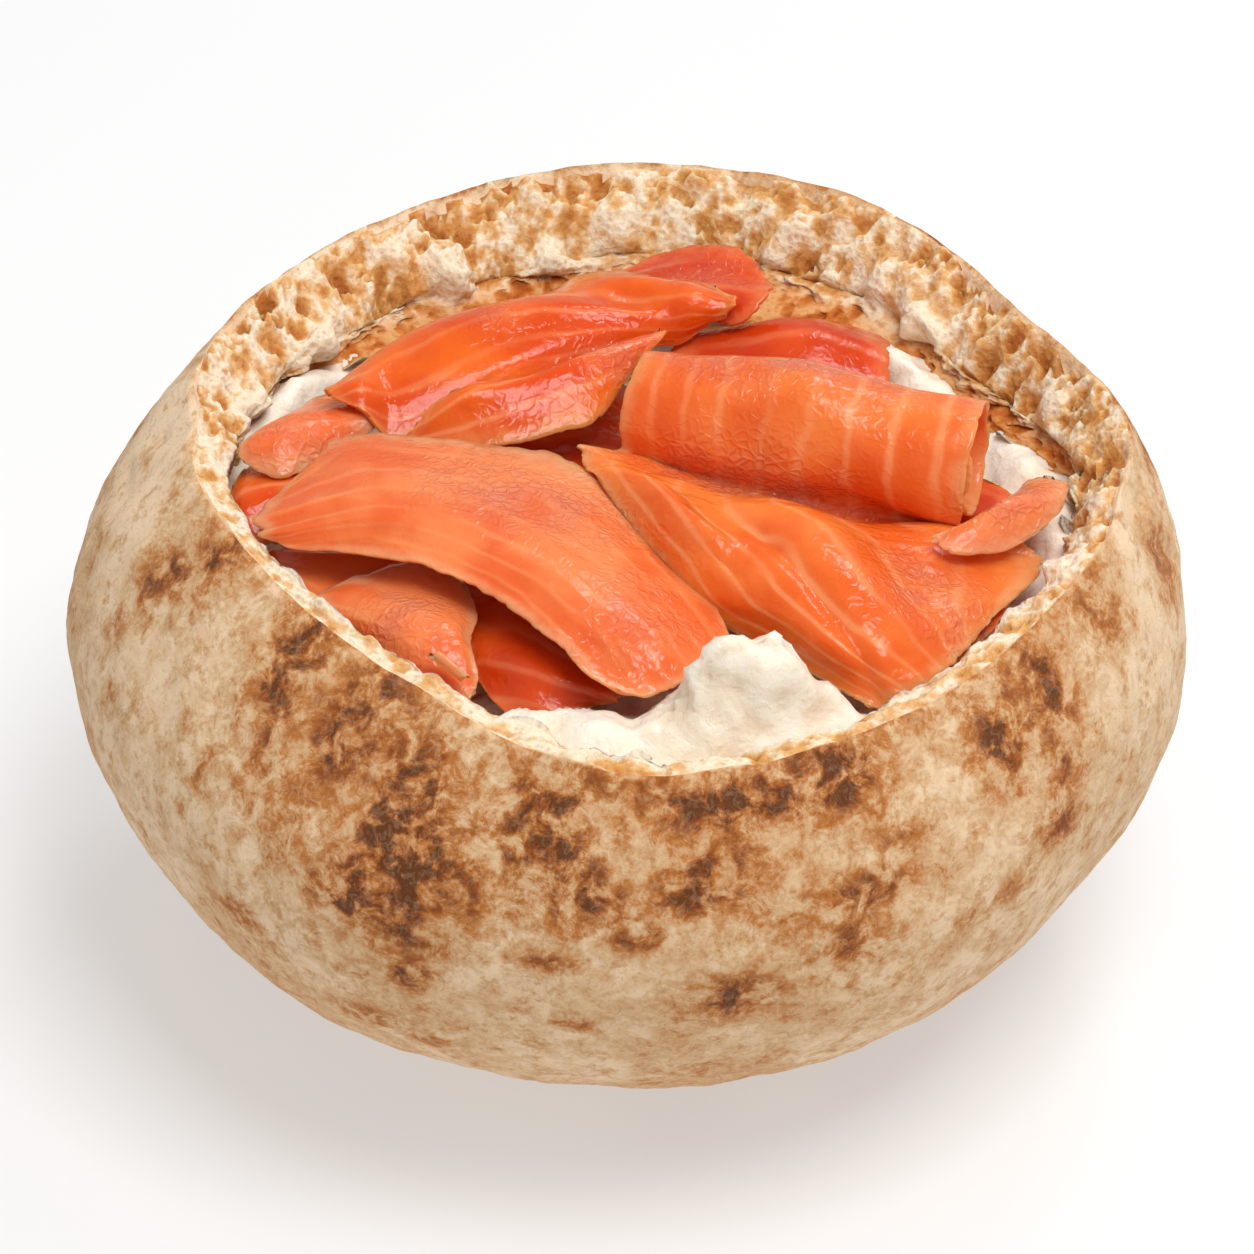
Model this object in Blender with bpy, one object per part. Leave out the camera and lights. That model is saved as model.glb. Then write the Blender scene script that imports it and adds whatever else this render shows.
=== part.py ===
# Stuffed pita
#
# A puffed round flatbread with its top torn away, filled with cream cheese and
# with loosely folded slices of smoked salmon.
#
# +Z is up, X runs from side seam to side seam, and -Y points at the low lip of
# the opening. The origin is the middle of the flat spot that the bread rests on.
# Sizes are in millimetres, and azimuths in degrees from +X towards +Y.

import math

import bmesh
import bpy
import numpy as np
from mathutils import Vector, noise

MM = 0.001

# The bread, round its own axis: one value for every 30 degrees of azimuth, from +X
RIM_RADIUS = (66, 62, 66, 67, 63.5, 60.5, 57, 52, 52.5, 60, 60, 60.5)
RIM_HEIGHT = (79, 80, 80.5, 80.5, 80, 79.5, 79.5, 78.5, 76, 74, 74.5, 76.5)
BELLY_RADIUS = (74.5, 73, 71, 70, 71, 73.7, 75, 72, 71.5, 70, 71.5, 72.3)
RIM_WALL = (7, 8, 9, 9.5, 9, 8, 5, 3, 4.5, 5.5, 5, 5)
RIM_DROP = (2.5, 4, 5, 5, 5, 3.5, 1.5, 0.5, 0.3, 0.3, 0.3, 0.8)
BELLY_HEIGHT = 50
LOWER_DEPTH = 52.5
BELLY_WALL = 8
FLOOR_WALL = 7

# Relief of the bread
DENT_DEPTH = 1.3
DENT_LENGTH = 34
DENT_SEED = 3.7
SMOOTH_FOOT = 12
CRAG_DEPTH = 1.4
CRAG_LENGTH = 9
CRAG_SEED = 9.1
THICK_RIM = 8
SEAMS = (173, -7)
SEAM_DEPTH = 1.6
SEAM_HALF_ANGLE = 7

# Steps of the turned meshes
TURN_STEPS = 90
LOWER_STEPS = 7
UPPER_STEPS = 7
TORN_STEPS = 3
CRAG_STEPS = 4
CAVITY_LEVELS = (1, 0.5, 0, -0.25, -0.5, -0.75, -1)
BED_STEPS = 14

# The cream cheese: its height and its radius along the wall, its dip under the
# salmon, and its lumps
BED_EDGE = (68.5, 69, 69.5, 69, 69, 68.5, 69, 70, 71, 71.5, 71, 70)
BED_RADIUS = (60, 53, 53, 55, 53, 55, 54.5, 52, 50.5, 55.5, 56.5, 57.5)
BED_DIP = 6
BED_SLOPE = 5
BED_LUMP = 1.2
BED_LUMP_LENGTH = 13
BED_SEED = 5.3
BED_BLEND = 0.12
CLEARANCE = 0.45

# How steep a dollop's side is, and the dollops: middle x and y, half length, half
# width towards and away from the wall, turn in degrees, and height
DOLLOP_FALL = 1.3
DOLLOPS = (
    (14, -46, 8, 8, 4, -15, 16),
    (24, -47, 8, 5, 4, -40, 9),
    (-2, -48, 17, 6, 5, -3, 4.5),
    (38, 32, 8, 5, 6, -45, 5),
    (54, 4, 13, 5, 5, -80, 5),
    (-46, 28, 12, 5, 5, 52, 5),
    (-54, 7, 6, 4, 4, 80, 5),
)

# The salmon: its thickness, how much of it is left at an edge, and its unevenness
SLICE_THICKNESS = 2.4
EDGE_SHARE = 0.5
EDGE_TAPER = 5
SLICE_STEP = 4.5
FEWEST_ROWS = 5
WANDER = 0.9
WANDER_LENGTH = 9
WANDER_SEEDS = (1.3, 4.9, 8.2)
SLICE_GAP = 0.35

# Heights of the pile are kept on a square grid of this cell, this far each way
CELL = 0.5
REACH = 72
LIFT_ROUNDS = 12
LIFT_CELLS = 6
BLUR_CELLS = 3
WALL_GAP = 1
TINY_AREA = 1e-9

# The slices, from the bottom of the pile up. Each is a sheet over rails, from its
# front edge to its back one, and a rail is a line of points on the sheet's top.
SLICES = {
    "salmon_base_front": (
        ((-48, -8, 69), (-40, -10, 70), (-27, -10, 69)),
        ((-47, -14, 69), (-38, -18, 70), (-26, -18, 69)),
        ((-44, -21, 68), (-36, -27, 69), (-26, -29, 68)),
    ),
    "salmon_base_right": (
        ((33, -39, 69), (46, -32, 70)),
        ((36, -12, 68), (50, -12, 70)),
        ((37, 7, 69), (50, 6, 71)),
    ),
    "salmon_base_middle": (
        ((-20, -4, 69), (-9, -6, 69), (3, -7, 67)),
        ((-23, 7, 71), (-9, 6, 72), (3, 7, 69)),
        ((-21, 21, 71), (-8, 20, 72), (3, 20, 69)),
    ),
    "salmon_front_inner": (
        ((-18, -40, 70), (-12, -43, 70), (-3, -42, 70)),
        ((-21, -28, 72), (-11, -36, 74), (-1, -41, 72)),
        ((-20, -14, 71), (-8, -21, 72), (3, -31, 71)),
    ),
    "salmon_front_outer": (
        ((-36, -29, 71.5), (-28, -38, 73), (-22, -42, 72.5), (-18, -43, 72)),
        ((-39, -26, 73), (-30, -32, 76.5), (-23, -34, 76.5), (-20, -35, 75)),
        ((-40, -23, 72.5), (-33, -21, 74), (-26, -18, 74.5), (-19, -22, 74)),
    ),
    "salmon_scrap": (
        ((-26, -43, 76), (-22, -45, 75.5), (-19, -45, 75)),
        ((-27, -40, 77.5), (-24, -40, 78), (-20, -41, 77)),
    ),
    "salmon_left_outer": (
        ((-50, -10, 71.5), (-47, -11, 72.5), (-41, -7, 72)),
        ((-53, -6, 74.5), (-48, -5, 76), (-41, -2, 75.5)),
        ((-53, 2, 73), (-48, 4, 74), (-40, 7, 73)),
    ),
    "salmon_left_inner": (
        ((-52, 0, 74), (-45, -1, 75.5), (-37, 4, 75.5)),
        ((-51, 4, 76.8), (-45, 6, 79.5), (-37, 8, 79)),
        ((-47, 12, 74), (-43, 15, 75.5), (-36, 18, 75)),
    ),
    "salmon_back_right": (
        ((13, 17, 74), (24, 16, 74), (34, 17, 74)),
        ((13, 28, 78), (24, 27, 80), (34, 25, 77.5)),
        ((13, 37, 73), (25, 39, 73), (35, 35, 73)),
    ),
    "salmon_back_top": (
        ((-4, 38, 76), (8, 33, 77), (16, 25, 76.5)),
        ((-4, 39, 78.5), (8, 35, 80.5), (18, 31, 80.5)),
        ((-4, 43, 78), (9, 43, 81.5), (20, 40, 82)),
    ),
    "salmon_back_left": (
        ((-37, 8, 76.5), (-30, 7, 77), (-21, 11, 78), (-10, 17, 79), (2, 24, 79), (10, 27, 77)),
        ((-38, 10, 77.5), (-30, 12, 80), (-20, 16, 81.5), (-9, 21, 82.5), (3, 25, 81), (11, 27, 79)),
        ((-39, 13, 77.5), (-31, 22, 81), (-21, 25, 83.5), (-9, 28, 84), (3, 28, 82.5), (12, 28, 79.5)),
        ((-37, 21, 73.5), (-30, 31, 75), (-20, 37, 76), (-8, 40, 76.5), (3, 37, 77), (11, 33, 78)),
    ),
    "salmon_front_left": (
        ((-47, -18, 77), (-35, -21, 79), (-25, -26, 80.5), (-16, -32, 80), (-8, -40, 78.5), (-1, -48, 76)),
        ((-47, -14, 78.5), (-34, -14, 82), (-20, -19, 82.5), (-7, -28, 81.5), (3, -38, 79), (8, -42, 75.5)),
        ((-42, -1, 77), (-36, 2, 79.5), (-22, -1, 80.5), (-7, -4, 79), (5, -19, 76), (14, -31, 73.5)),
    ),
    "salmon_rolled": (
        ((30, -43, 71), (34, -42, 72.5), (40, -37, 73), (46, -29, 72)),
        ((18, -32, 72.5), (26, -38, 77.5), (34, -32, 77), (49, -23, 73)),
        ((5, -19, 73), (14, -23, 79.5), (29, -21, 78), (52, -17, 73.5)),
        ((-4, -6, 77), (6, -9, 79.8), (24, -13, 77.5), (50, -14, 74.5)),
        ((-5, -1, 80.8), (9, -3, 76.2), (26, -8, 75.2), (46, -12, 74.5)),
    ),
    "salmon_pleat": (
        ((-31, 4, 77), (-20, 2, 79), (-11, 4, 80), (-4, 7, 80.5), (-1, 11, 80.5)),
        ((-26, 6, 79), (-18, 8, 82), (-10, 11, 84), (-2, 15, 84.5), (4, 19, 84)),
        ((-24, 11, 77), (-17, 13, 79.5), (-9, 16, 81), (-1, 21, 81.5), (5, 24, 81.5)),
    ),
    "salmon_right_tip": (
        ((38, -19, 76), (44, -19, 77.5), (54, -15, 75.5)),
        ((41, -17, 78), (48, -14, 80.5), (56, -9, 79)),
        ((49, -10, 77), (51, -7, 78.5), (56, -2, 77)),
    ),
}

# The slice whose back edge is rolled in, up its front first and over: the roll's
# axis, its outer radius and its first angle from the bottom along that, and its steps
ROLLS = {
    "salmon_rolled": (
        ((2, 8.7, 80), (14, 5.6, 80), (29, 1, 80), (44.5, -3.5, 79.3)),
        (7.8, 8.4, 8.8, 8.2), (75, 55, 46, 42), 15,
    ),
}
ROLL_END = 540
ROLL_NARROWS = 200
ROLL_PITCH = 4.7

# Name, base colour and roughness of each material, and the crease that stays sharp
BREAD = ("bread", (0.72, 0.5, 0.3), 0.75)
CHEESE = ("cream_cheese", (0.9, 0.82, 0.7), 0.45)
SALMON = ("salmon", (0.82, 0.2, 0.05), 0.3)
SHARP_ANGLE = 50


def through(before, start, end, after, part):
    """A smooth curve's place between start and end, given its neighbours."""
    bend = 3 * (start - end) + after - before
    swing = 2 * before - 5 * start + 4 * end - after
    return start + 0.5 * part * (end - before + part * (swing + part * bend))


def around(table, azimuth):
    """The table's value at an azimuth in degrees, on a smooth closed curve."""
    place = azimuth / 360 * len(table)
    first = math.floor(place)
    near = [table[(first + step) % len(table)] for step in (-1, 0, 1, 2)]
    return through(*near, place - first)


def smooth_step(value):
    """0 below 0, 1 above 1, and smooth between."""
    value = np.clip(value, 0, 1)
    return value * value * (3 - 2 * value)


def waves(x, y, z, length, seed):
    """Smooth noise from -1 to 1 whose bumps are about this long."""
    return noise.noise(Vector((x / length + seed, y / length, z / length)))


def spot(radius, azimuth):
    """The x and y of a radius and an azimuth."""
    turn = math.radians(azimuth)
    return radius * math.cos(turn), radius * math.sin(turn)


def crust(azimuth, level):
    """(radius, height) on the crust: level is -1 at the foot, 0 at the belly and 1 at the rim."""
    belly = around(BELLY_RADIUS, azimuth)
    if level < 0:
        turn = -level * math.asin(BELLY_HEIGHT / LOWER_DEPTH)
        return belly * math.cos(turn), BELLY_HEIGHT - LOWER_DEPTH * math.sin(turn)
    rim, top = around(RIM_RADIUS, azimuth), around(RIM_HEIGHT, azimuth)
    return belly + (rim - belly) * level**2, BELLY_HEIGHT + (top - BELLY_HEIGHT) * level


def torn_wall(azimuth, level):
    """(radius, height) on the torn inner face: level is 0 at the cheese's edge and 1 at the rim."""
    radius = around(RIM_RADIUS, azimuth) - around(RIM_WALL, azimuth)
    height = around(RIM_HEIGHT, azimuth) - around(RIM_DROP, azimuth)
    edge_radius, edge_height = around(BED_RADIUS, azimuth), around(BED_EDGE, azimuth)
    return (
        edge_radius + (radius - edge_radius) * level,
        edge_height + (height - edge_height) * level,
    )


def cavity(azimuth, level):
    """(radius, height) on the cavity's face: level is 1 at the cheese's edge and -1 at the floor."""
    belly = around(BELLY_RADIUS, azimuth) - BELLY_WALL
    if level < 0:
        depth = LOWER_DEPTH - FLOOR_WALL / 2
        turn = -level * math.asin((BELLY_HEIGHT - FLOOR_WALL) / depth)
        return belly * math.cos(turn), BELLY_HEIGHT - depth * math.sin(turn)
    radius, height = torn_wall(azimuth, 0)
    return belly + (radius - belly) * level**2, BELLY_HEIGHT + (height - BELLY_HEIGHT) * level


def dent(azimuth, radius, height):
    """How far the bread's wall stands out at a point."""
    x, y = spot(radius, azimuth)
    out = DENT_DEPTH * waves(x, y, height, DENT_LENGTH, DENT_SEED)
    near_rim = max(0, (height - BELLY_HEIGHT) / (RIM_HEIGHT[0] - BELLY_HEIGHT))
    for seam in SEAMS:
        off = (azimuth - seam + 180) % 360 - 180
        out -= SEAM_DEPTH * near_rim * math.exp(-((off / SEAM_HALF_ANGLE) ** 2))
    return out * min(1, height / SMOOTH_FOOT)


def crag(azimuth, radius, height):
    """How far the torn crumb is worn back at a point."""
    x, y = spot(radius, azimuth)
    depth = CRAG_DEPTH * min(1, around(RIM_WALL, azimuth) / THICK_RIM)
    return depth * (0.5 + waves(x, y, height, CRAG_LENGTH, CRAG_SEED))


def bread_profile():
    """The bread's rings from its foot over its rim to the cavity's floor, as (face, level)."""
    lower = [("crust", step / LOWER_STEPS - 1) for step in range(LOWER_STEPS)]
    upper = [("crust", step / UPPER_STEPS) for step in range(UPPER_STEPS + 1)]
    torn = [("torn", step / TORN_STEPS) for step in range(1, TORN_STEPS)]
    crags = [("crag", 1 - step / CRAG_STEPS) for step in range(CRAG_STEPS)]
    return lower + upper + torn + crags + [("cavity", level) for level in CAVITY_LEVELS]


def bread_point(face, level, azimuth):
    """The (radius, height) of a ring of the bread at an azimuth."""
    if face == "crust":
        radius, height = crust(azimuth, level)
    elif face == "cavity":
        radius, height = cavity(azimuth, level)
    elif face == "crag":
        radius, height = torn_wall(azimuth, level)
        radius += crag(azimuth, radius, height)
    else:
        outer, inner = crust(azimuth, 1), torn_wall(azimuth, 1)
        radius, height = (a + (b - a) * level for a, b in zip(outer, inner))
        height += crag(azimuth, radius, height) - CRAG_DEPTH / 2
    return radius + dent(azimuth, radius, height), height


def cheese_profile():
    """The cheese's rings from its middle out to the wall and down to the cavity's floor."""
    top = [("top", step / BED_STEPS) for step in range(1, BED_STEPS + 1)]
    return top + [("side", level) for level in CAVITY_LEVELS[1:]]


def cheese_point(face, level, azimuth):
    """The (radius, height) of a ring of the cheese at an azimuth, clear of the bread."""
    radius, height = cavity(azimuth, level if face == "side" else 1)
    radius += dent(azimuth, radius, height) - CLEARANCE
    if face == "side":
        return radius, height + CLEARANCE * max(0, -level)
    radius *= level
    near_wall = smooth_step((level - 1) / BED_BLEND + 1)
    return radius, bed_height(*spot(radius, azimuth)) * (1 - near_wall) + height * near_wall


def bed_height(x, y):
    """The height of the cheese's top at a point."""
    azimuth = math.degrees(math.atan2(y, x))
    edge = around(BED_EDGE, azimuth)
    share = math.hypot(x, y) / cavity(azimuth, 1)[0]
    height = edge - BED_DIP * smooth_step((1 - share) * BED_SLOPE)
    height += BED_LUMP * waves(x, y, 0, BED_LUMP_LENGTH, BED_SEED)
    for middle_x, middle_y, length, wide_out, wide_in, turn, rise in DOLLOPS:
        cosine, sine = spot(1, turn)
        dx, dy = x - middle_x, y - middle_y
        along, across = dx * cosine + dy * sine, dy * cosine - dx * sine
        outwards = across * (middle_y * cosine - middle_x * sine) > 0
        width = wide_out if outwards else wide_in
        off = (along / length) ** 2 + (across / width) ** 2
        height += rise * math.exp(-(off**DOLLOP_FALL))
    return height


def turned(profile, point, first_hub, last_hub):
    """A closed body turned from a line of rings, whose end rings close on hubs at these heights."""
    body = bmesh.new()
    line = [body.verts.new((1, 0, ring)) for ring in range(len(profile))]
    edges = [body.edges.new(pair) for pair in zip(line, line[1:])]
    bmesh.ops.spin(
        body, geom=line + edges, axis=(0, 0, 1), cent=(0, 0, 0),
        angle=math.tau, steps=TURN_STEPS, use_merge=True,
    )
    for ring, height in ((0, first_hub), (len(profile) - 1, last_hub)):
        end = [edge for edge in body.edges if all(round(v.co.z) == ring for v in edge.verts)]
        hub = body.verts.new((0, 0, ring))
        for edge in end:
            body.faces.new((*edge.verts, hub))
        hub.co = (0, 0, height)
        hub.tag = True
    for vert in body.verts:
        if vert.tag:
            continue
        azimuth = math.degrees(math.atan2(vert.co.y, vert.co.x))
        radius, height = point(*profile[round(vert.co.z)], azimuth)
        vert.co = (*spot(radius, azimuth), height)
    bmesh.ops.triangulate(body, faces=body.faces)
    return body


def finished(name, body, finish):
    """Makes a painted object from a body in millimetres."""
    bmesh.ops.recalc_face_normals(body, faces=body.faces)
    if body.calc_volume(signed=True) < 0:
        bmesh.ops.reverse_faces(body, faces=body.faces)
    bmesh.ops.scale(body, vec=(MM, MM, MM), verts=body.verts)
    mesh = bpy.data.meshes.new(name)
    body.to_mesh(mesh)
    body.free()
    made = bpy.data.objects.new(name, mesh)
    bpy.context.scene.collection.objects.link(made)
    mesh.materials.append(painted(*finish))
    mesh.shade_smooth()
    mesh.set_sharp_from_angle(angle=math.radians(SHARP_ANGLE))
    return made


def painted(name, colour, roughness):
    """The material of this name, made once."""
    if name in bpy.data.materials:
        return bpy.data.materials[name]
    material = bpy.data.materials.new(name)
    material.use_nodes = True
    shader = material.node_tree.nodes["Principled BSDF"]
    shader.inputs["Base Color"].default_value = (*colour, 1)
    shader.inputs["Roughness"].default_value = roughness
    shader.inputs["Metallic"].default_value = 0
    return material


class Pile:
    """The height of what already lies in the bread, on a square grid of cells."""

    def __init__(self):
        cells = int(2 * REACH / CELL) + 1
        self.top = np.full((cells, cells), -np.inf)

    def skins(self, body):
        """The lowest and the highest face of a body over each cell."""
        low = np.full_like(self.top, np.inf)
        high = np.full_like(self.top, -np.inf)
        corners = np.array([[vert.co for vert in face.verts] for face in body.faces])
        for a, b, c in (corners + (REACH, REACH, 0)) / (CELL, CELL, 1):
            x0, x1 = math.ceil(min(a[0], b[0], c[0])), math.floor(max(a[0], b[0], c[0]))
            y0, y1 = math.ceil(min(a[1], b[1], c[1])), math.floor(max(a[1], b[1], c[1]))
            area = (b[0] - a[0]) * (c[1] - a[1]) - (b[1] - a[1]) * (c[0] - a[0])
            if x1 < x0 or y1 < y0 or abs(area) < TINY_AREA:
                continue
            x, y = np.meshgrid(np.arange(x0, x1 + 1), np.arange(y0, y1 + 1), indexing="ij")
            u = ((x - a[0]) * (c[1] - a[1]) - (y - a[1]) * (c[0] - a[0])) / area
            v = ((y - a[1]) * (b[0] - a[0]) - (x - a[0]) * (b[1] - a[1])) / area
            inside = (u >= 0) & (v >= 0) & (u + v <= 1)
            height = a[2] + u * (b[2] - a[2]) + v * (c[2] - a[2])
            here = (slice(x0, x1 + 1), slice(y0, y1 + 1))
            low[here] = np.where(inside, np.minimum(low[here], height), low[here])
            high[here] = np.where(inside, np.maximum(high[here], height), high[here])
        return low, high

    def add(self, body):
        """Lays the body on the pile."""
        self.top = np.maximum(self.top, self.skins(body)[1])

    def lift_for(self, body):
        """How far the body must rise over each cell, spread a little to the cells around."""
        low = self.skins(body)[0]
        short = np.where(np.isfinite(low), spread(self.top, 1, np.max) + SLICE_GAP - low, 0)
        return spread(spread(np.maximum(short, 0), LIFT_CELLS, np.max), BLUR_CELLS, np.mean)


def spread(field, reach, join):
    """The field with each cell joined to those within reach, by maximum or by mean."""
    for axis in (0, 1):
        shifted = [np.roll(field, step, axis) for step in range(-reach, reach + 1)]
        field = join(shifted, 0)
    return field


def read_along(points, count):
    """Points at even steps along a smooth curve through the given ones."""
    points = np.asarray(points, float)
    ends = 2 * points[:1] - points[1:2], 2 * points[-1:] - points[-2:-1]
    padded = np.concatenate([ends[0], points, ends[1]])
    place = np.linspace(0, len(points) - 1, count)
    first = np.minimum(place.astype(int), len(points) - 2)
    part = (place - first).reshape(-1, *[1] * (points.ndim - 1))
    return through(*(padded[first + step] for step in range(4)), part)


def length_of(points):
    """The length of a line of points."""
    return np.linalg.norm(np.diff(np.asarray(points, float), axis=0), axis=1).sum()


def sheet_grid(rails):
    """The sheet's grid of points, a few millimetres apart, with a little unevenness."""
    count = round(max(length_of(rail) for rail in rails) / SLICE_STEP) + 1
    lines = np.array([read_along(rail, count) for rail in rails])
    rows = round(max(length_of(lines[:, k]) for k in range(count)) / SLICE_STEP) + 1
    grid = read_along(lines, max(rows, FEWEST_ROWS)).transpose(1, 0, 2)
    for point in grid.reshape(-1, 3):
        off = [waves(*point, WANDER_LENGTH, seed) for seed in WANDER_SEEDS]
        point += WANDER * np.array(off)
    return grid


def rolled_up(grid, axis, radii, first_angles, steps):
    """The grid with its back edge going on into a roll round this axis."""
    middle = read_along(axis, len(grid))
    radius = read_along(np.array(radii)[:, None], len(grid))
    first = read_along(np.array(first_angles)[:, None], len(grid))
    along = middle[-1, :2] - middle[0, :2]
    front = np.array((along[1], -along[0])) / np.linalg.norm(along)
    turns = []
    for step in range(steps + 1):
        angle = first + (ROLL_END - first) * step / steps
        inner = radius - ROLL_PITCH * np.maximum(0, angle - ROLL_NARROWS) / 360
        bend = np.radians(angle)
        turns.append(middle + inner * np.hstack([front * np.sin(bend), -np.cos(bend)]))
    return np.concatenate([grid, np.array(turns).transpose(1, 0, 2)], axis=1)


def sheet_body(grid):
    """A slice's body: the grid thickened downwards, thinner at its edges, both faces split alike."""
    count, rows = grid.shape[:2]
    body = bmesh.new()
    bmesh.ops.create_grid(body, x_segments=count - 1, y_segments=rows - 1, size=0.5)
    place = body.verts.layers.int.new("place")
    for vert in body.verts:
        i = round((vert.co.x + 0.5) * (count - 1))
        j = round((vert.co.y + 0.5) * (rows - 1))
        vert[place] = i * rows + j
        vert.co = grid[i, j]
    bmesh.ops.triangulate(body, faces=body.faces)
    body.normal_update()
    normals = {vert[place]: vert.normal.copy() for vert in body.verts}
    thick = thickness_over(grid).ravel()
    under = bmesh.ops.extrude_face_region(body, geom=body.faces, use_keep_orig=True)
    for vert in under["geom"]:
        if isinstance(vert, bmesh.types.BMVert):
            vert.co -= normals[vert[place]] * thick[vert[place]]
    bmesh.ops.triangulate(body, faces=body.faces)
    return body


def thickness_over(grid):
    """The slice's thickness at each grid point, tapered towards its edges."""
    count, rows = grid.shape[:2]
    off_side = np.minimum(np.arange(count), np.arange(count)[::-1])[:, None]
    off_end = np.minimum(np.arange(rows), np.arange(rows)[::-1])[None, :]
    taper = smooth_step(np.minimum(off_side, off_end) * SLICE_STEP / EDGE_TAPER)
    return SLICE_THICKNESS * (EDGE_SHARE + (1 - EDGE_SHARE) * taper)


def keep_inside(body):
    """Moves the body's points that are in the bread's wall, or too near to it, inwards."""
    for vert in body.verts:
        azimuth = math.degrees(math.atan2(vert.co.y, vert.co.x))
        (foot, low), (rim, high) = torn_wall(azimuth, 0), torn_wall(azimuth, 1)
        face = foot + (rim - foot) * np.clip((vert.co.z - low) / (high - low), 0, 1)
        most = face + dent(azimuth, face, vert.co.z) - WALL_GAP
        radius = math.hypot(vert.co.x, vert.co.y)
        if radius > most:
            vert.co.x *= most / radius
            vert.co.y *= most / radius


def laid(rails, roll, pile):
    """A slice's body, lifted where it isn't clear of the pile, and added to it."""
    grid = sheet_grid(rails)
    if roll:
        grid = rolled_up(grid, *roll)
    body = sheet_body(grid)
    for _ in range(LIFT_ROUNDS):
        keep_inside(body)
        lift = pile.lift_for(body)
        if lift.max() < SLICE_GAP / 4:
            break
        for vert in body.verts:
            i, j = (round((value + REACH) / CELL) for value in vert.co[:2])
            vert.co.z += lift[i, j]
    pile.add(body)
    return body


def main():
    for obj in list(bpy.data.objects):
        bpy.data.objects.remove(obj)
    bread = turned(bread_profile(), bread_point, 0, FLOOR_WALL)
    finished("pita_bread", bread, BREAD)
    hubs = bed_height(0.01, 0), FLOOR_WALL + CLEARANCE
    cheese = turned(cheese_profile(), cheese_point, *hubs)
    pile = Pile()
    pile.add(cheese)
    finished("cream_cheese", cheese, CHEESE)
    for name, rails in SLICES.items():
        finished(name, laid(rails, ROLLS.get(name), pile), SALMON)


main()
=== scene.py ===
# %% [markdown]
# # A pita torn open, with cream cheese and smoked salmon
#
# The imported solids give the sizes, the places and the collision shapes. Each solid
# is replaced here by a finer piece: bread with a toasted crust and a torn crumb,
# spread cheese, and slices of salmon that are thin, wet and streaked with fat.

import math
import random

import bmesh
import bpy
import numpy as np
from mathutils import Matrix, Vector, noise


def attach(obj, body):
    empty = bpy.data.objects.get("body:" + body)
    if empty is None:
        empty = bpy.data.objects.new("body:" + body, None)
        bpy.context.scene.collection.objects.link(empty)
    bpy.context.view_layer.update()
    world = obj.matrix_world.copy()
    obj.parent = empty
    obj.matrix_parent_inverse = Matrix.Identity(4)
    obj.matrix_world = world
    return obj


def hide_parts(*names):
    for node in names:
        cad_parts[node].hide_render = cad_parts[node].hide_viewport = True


MM = 0.001
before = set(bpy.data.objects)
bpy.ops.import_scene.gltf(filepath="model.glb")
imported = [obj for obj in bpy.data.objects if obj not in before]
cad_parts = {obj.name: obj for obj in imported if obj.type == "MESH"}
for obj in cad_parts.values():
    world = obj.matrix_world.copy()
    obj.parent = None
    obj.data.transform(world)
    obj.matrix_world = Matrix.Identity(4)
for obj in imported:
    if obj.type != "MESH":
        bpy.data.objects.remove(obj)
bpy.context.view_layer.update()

# %% [markdown]
# ## Camera
#
# Photographs of food are taken from a seated eye's height, with a long lens so that
# the plate doesn't bulge. 150 mm from 0.7 m away gives that flat perspective, and
# an elevation of 38 degrees shows the filling and the front of the bread alike.

# %% Camera
LOOK_AT = Vector((0, 0, 0.050))
CAMERA_DISTANCE = 0.700
CAMERA_ELEVATION = math.radians(38)
CAMERA_LENS = 150
FILM_WIDTH = 36


def make_camera():
    """A long lens that looks along +Y and down at the bread."""
    lens = bpy.data.cameras.new("camera")
    lens.lens = CAMERA_LENS
    lens.sensor_width = FILM_WIDTH
    camera = bpy.data.objects.new("camera", lens)
    back = Vector((0, -math.cos(CAMERA_ELEVATION), math.sin(CAMERA_ELEVATION)))
    camera.location = LOOK_AT + CAMERA_DISTANCE * back
    camera.rotation_euler = (math.radians(90) - CAMERA_ELEVATION, 0, 0)
    bpy.context.collection.objects.link(camera)
    bpy.context.scene.camera = camera
    return camera


print("camera at", tuple(make_camera().location))

# %% [markdown]
# ## Node helpers
#
# A shader is a graph, and a graph written link by link is hard to read. One helper
# adds a node and wires its inputs: a plain value stays on the socket, and a socket
# is linked. Small helpers on top of it name the steps that food needs again and
# again, such as a noise, a colour ramp and a mix.

# %% Node helpers
def set_inputs(tree, node, inputs):
    """Sets several inputs of a node: a plain value stays on it, and a socket is linked."""
    for key, value in inputs.items():
        if isinstance(value, bpy.types.NodeSocket):
            tree.links.new(value, node.inputs[key])
        else:
            node.inputs[key].default_value = value


def add_node(tree, kind, inputs=None, **settings):
    """Adds a node of this kind, whose inputs are values or sockets to link from."""
    made = tree.nodes.new(kind)
    for name, value in settings.items():
        setattr(made, name, value)
    set_inputs(tree, made, inputs or {})
    return made


def new_material(name):
    """An empty material with a Principled BSDF, and its node tree."""
    material = bpy.data.materials.new(name)
    material.use_nodes = True
    tree = material.node_tree
    return material, tree, tree.nodes["Principled BSDF"]


def object_place(tree):
    """The place on the piece, in metres."""
    return add_node(tree, "ShaderNodeTexCoord").outputs["Object"]


def noise_at(tree, place, size, detail=3, roughness=0.55, distortion=0.0):
    """Noise whose bumps are about this many millimetres long, from 0 to 1."""
    inputs = {
        "Vector": place, "Scale": 1 / (size * MM), "Detail": detail,
        "Roughness": roughness, "Distortion": distortion,
    }
    return add_node(tree, "ShaderNodeTexNoise", inputs).outputs["Fac"]


def attribute_of(tree, name):
    """A number that the mesh keeps at each of its points."""
    return add_node(tree, "ShaderNodeAttribute", attribute_name=name).outputs["Fac"]


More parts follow.
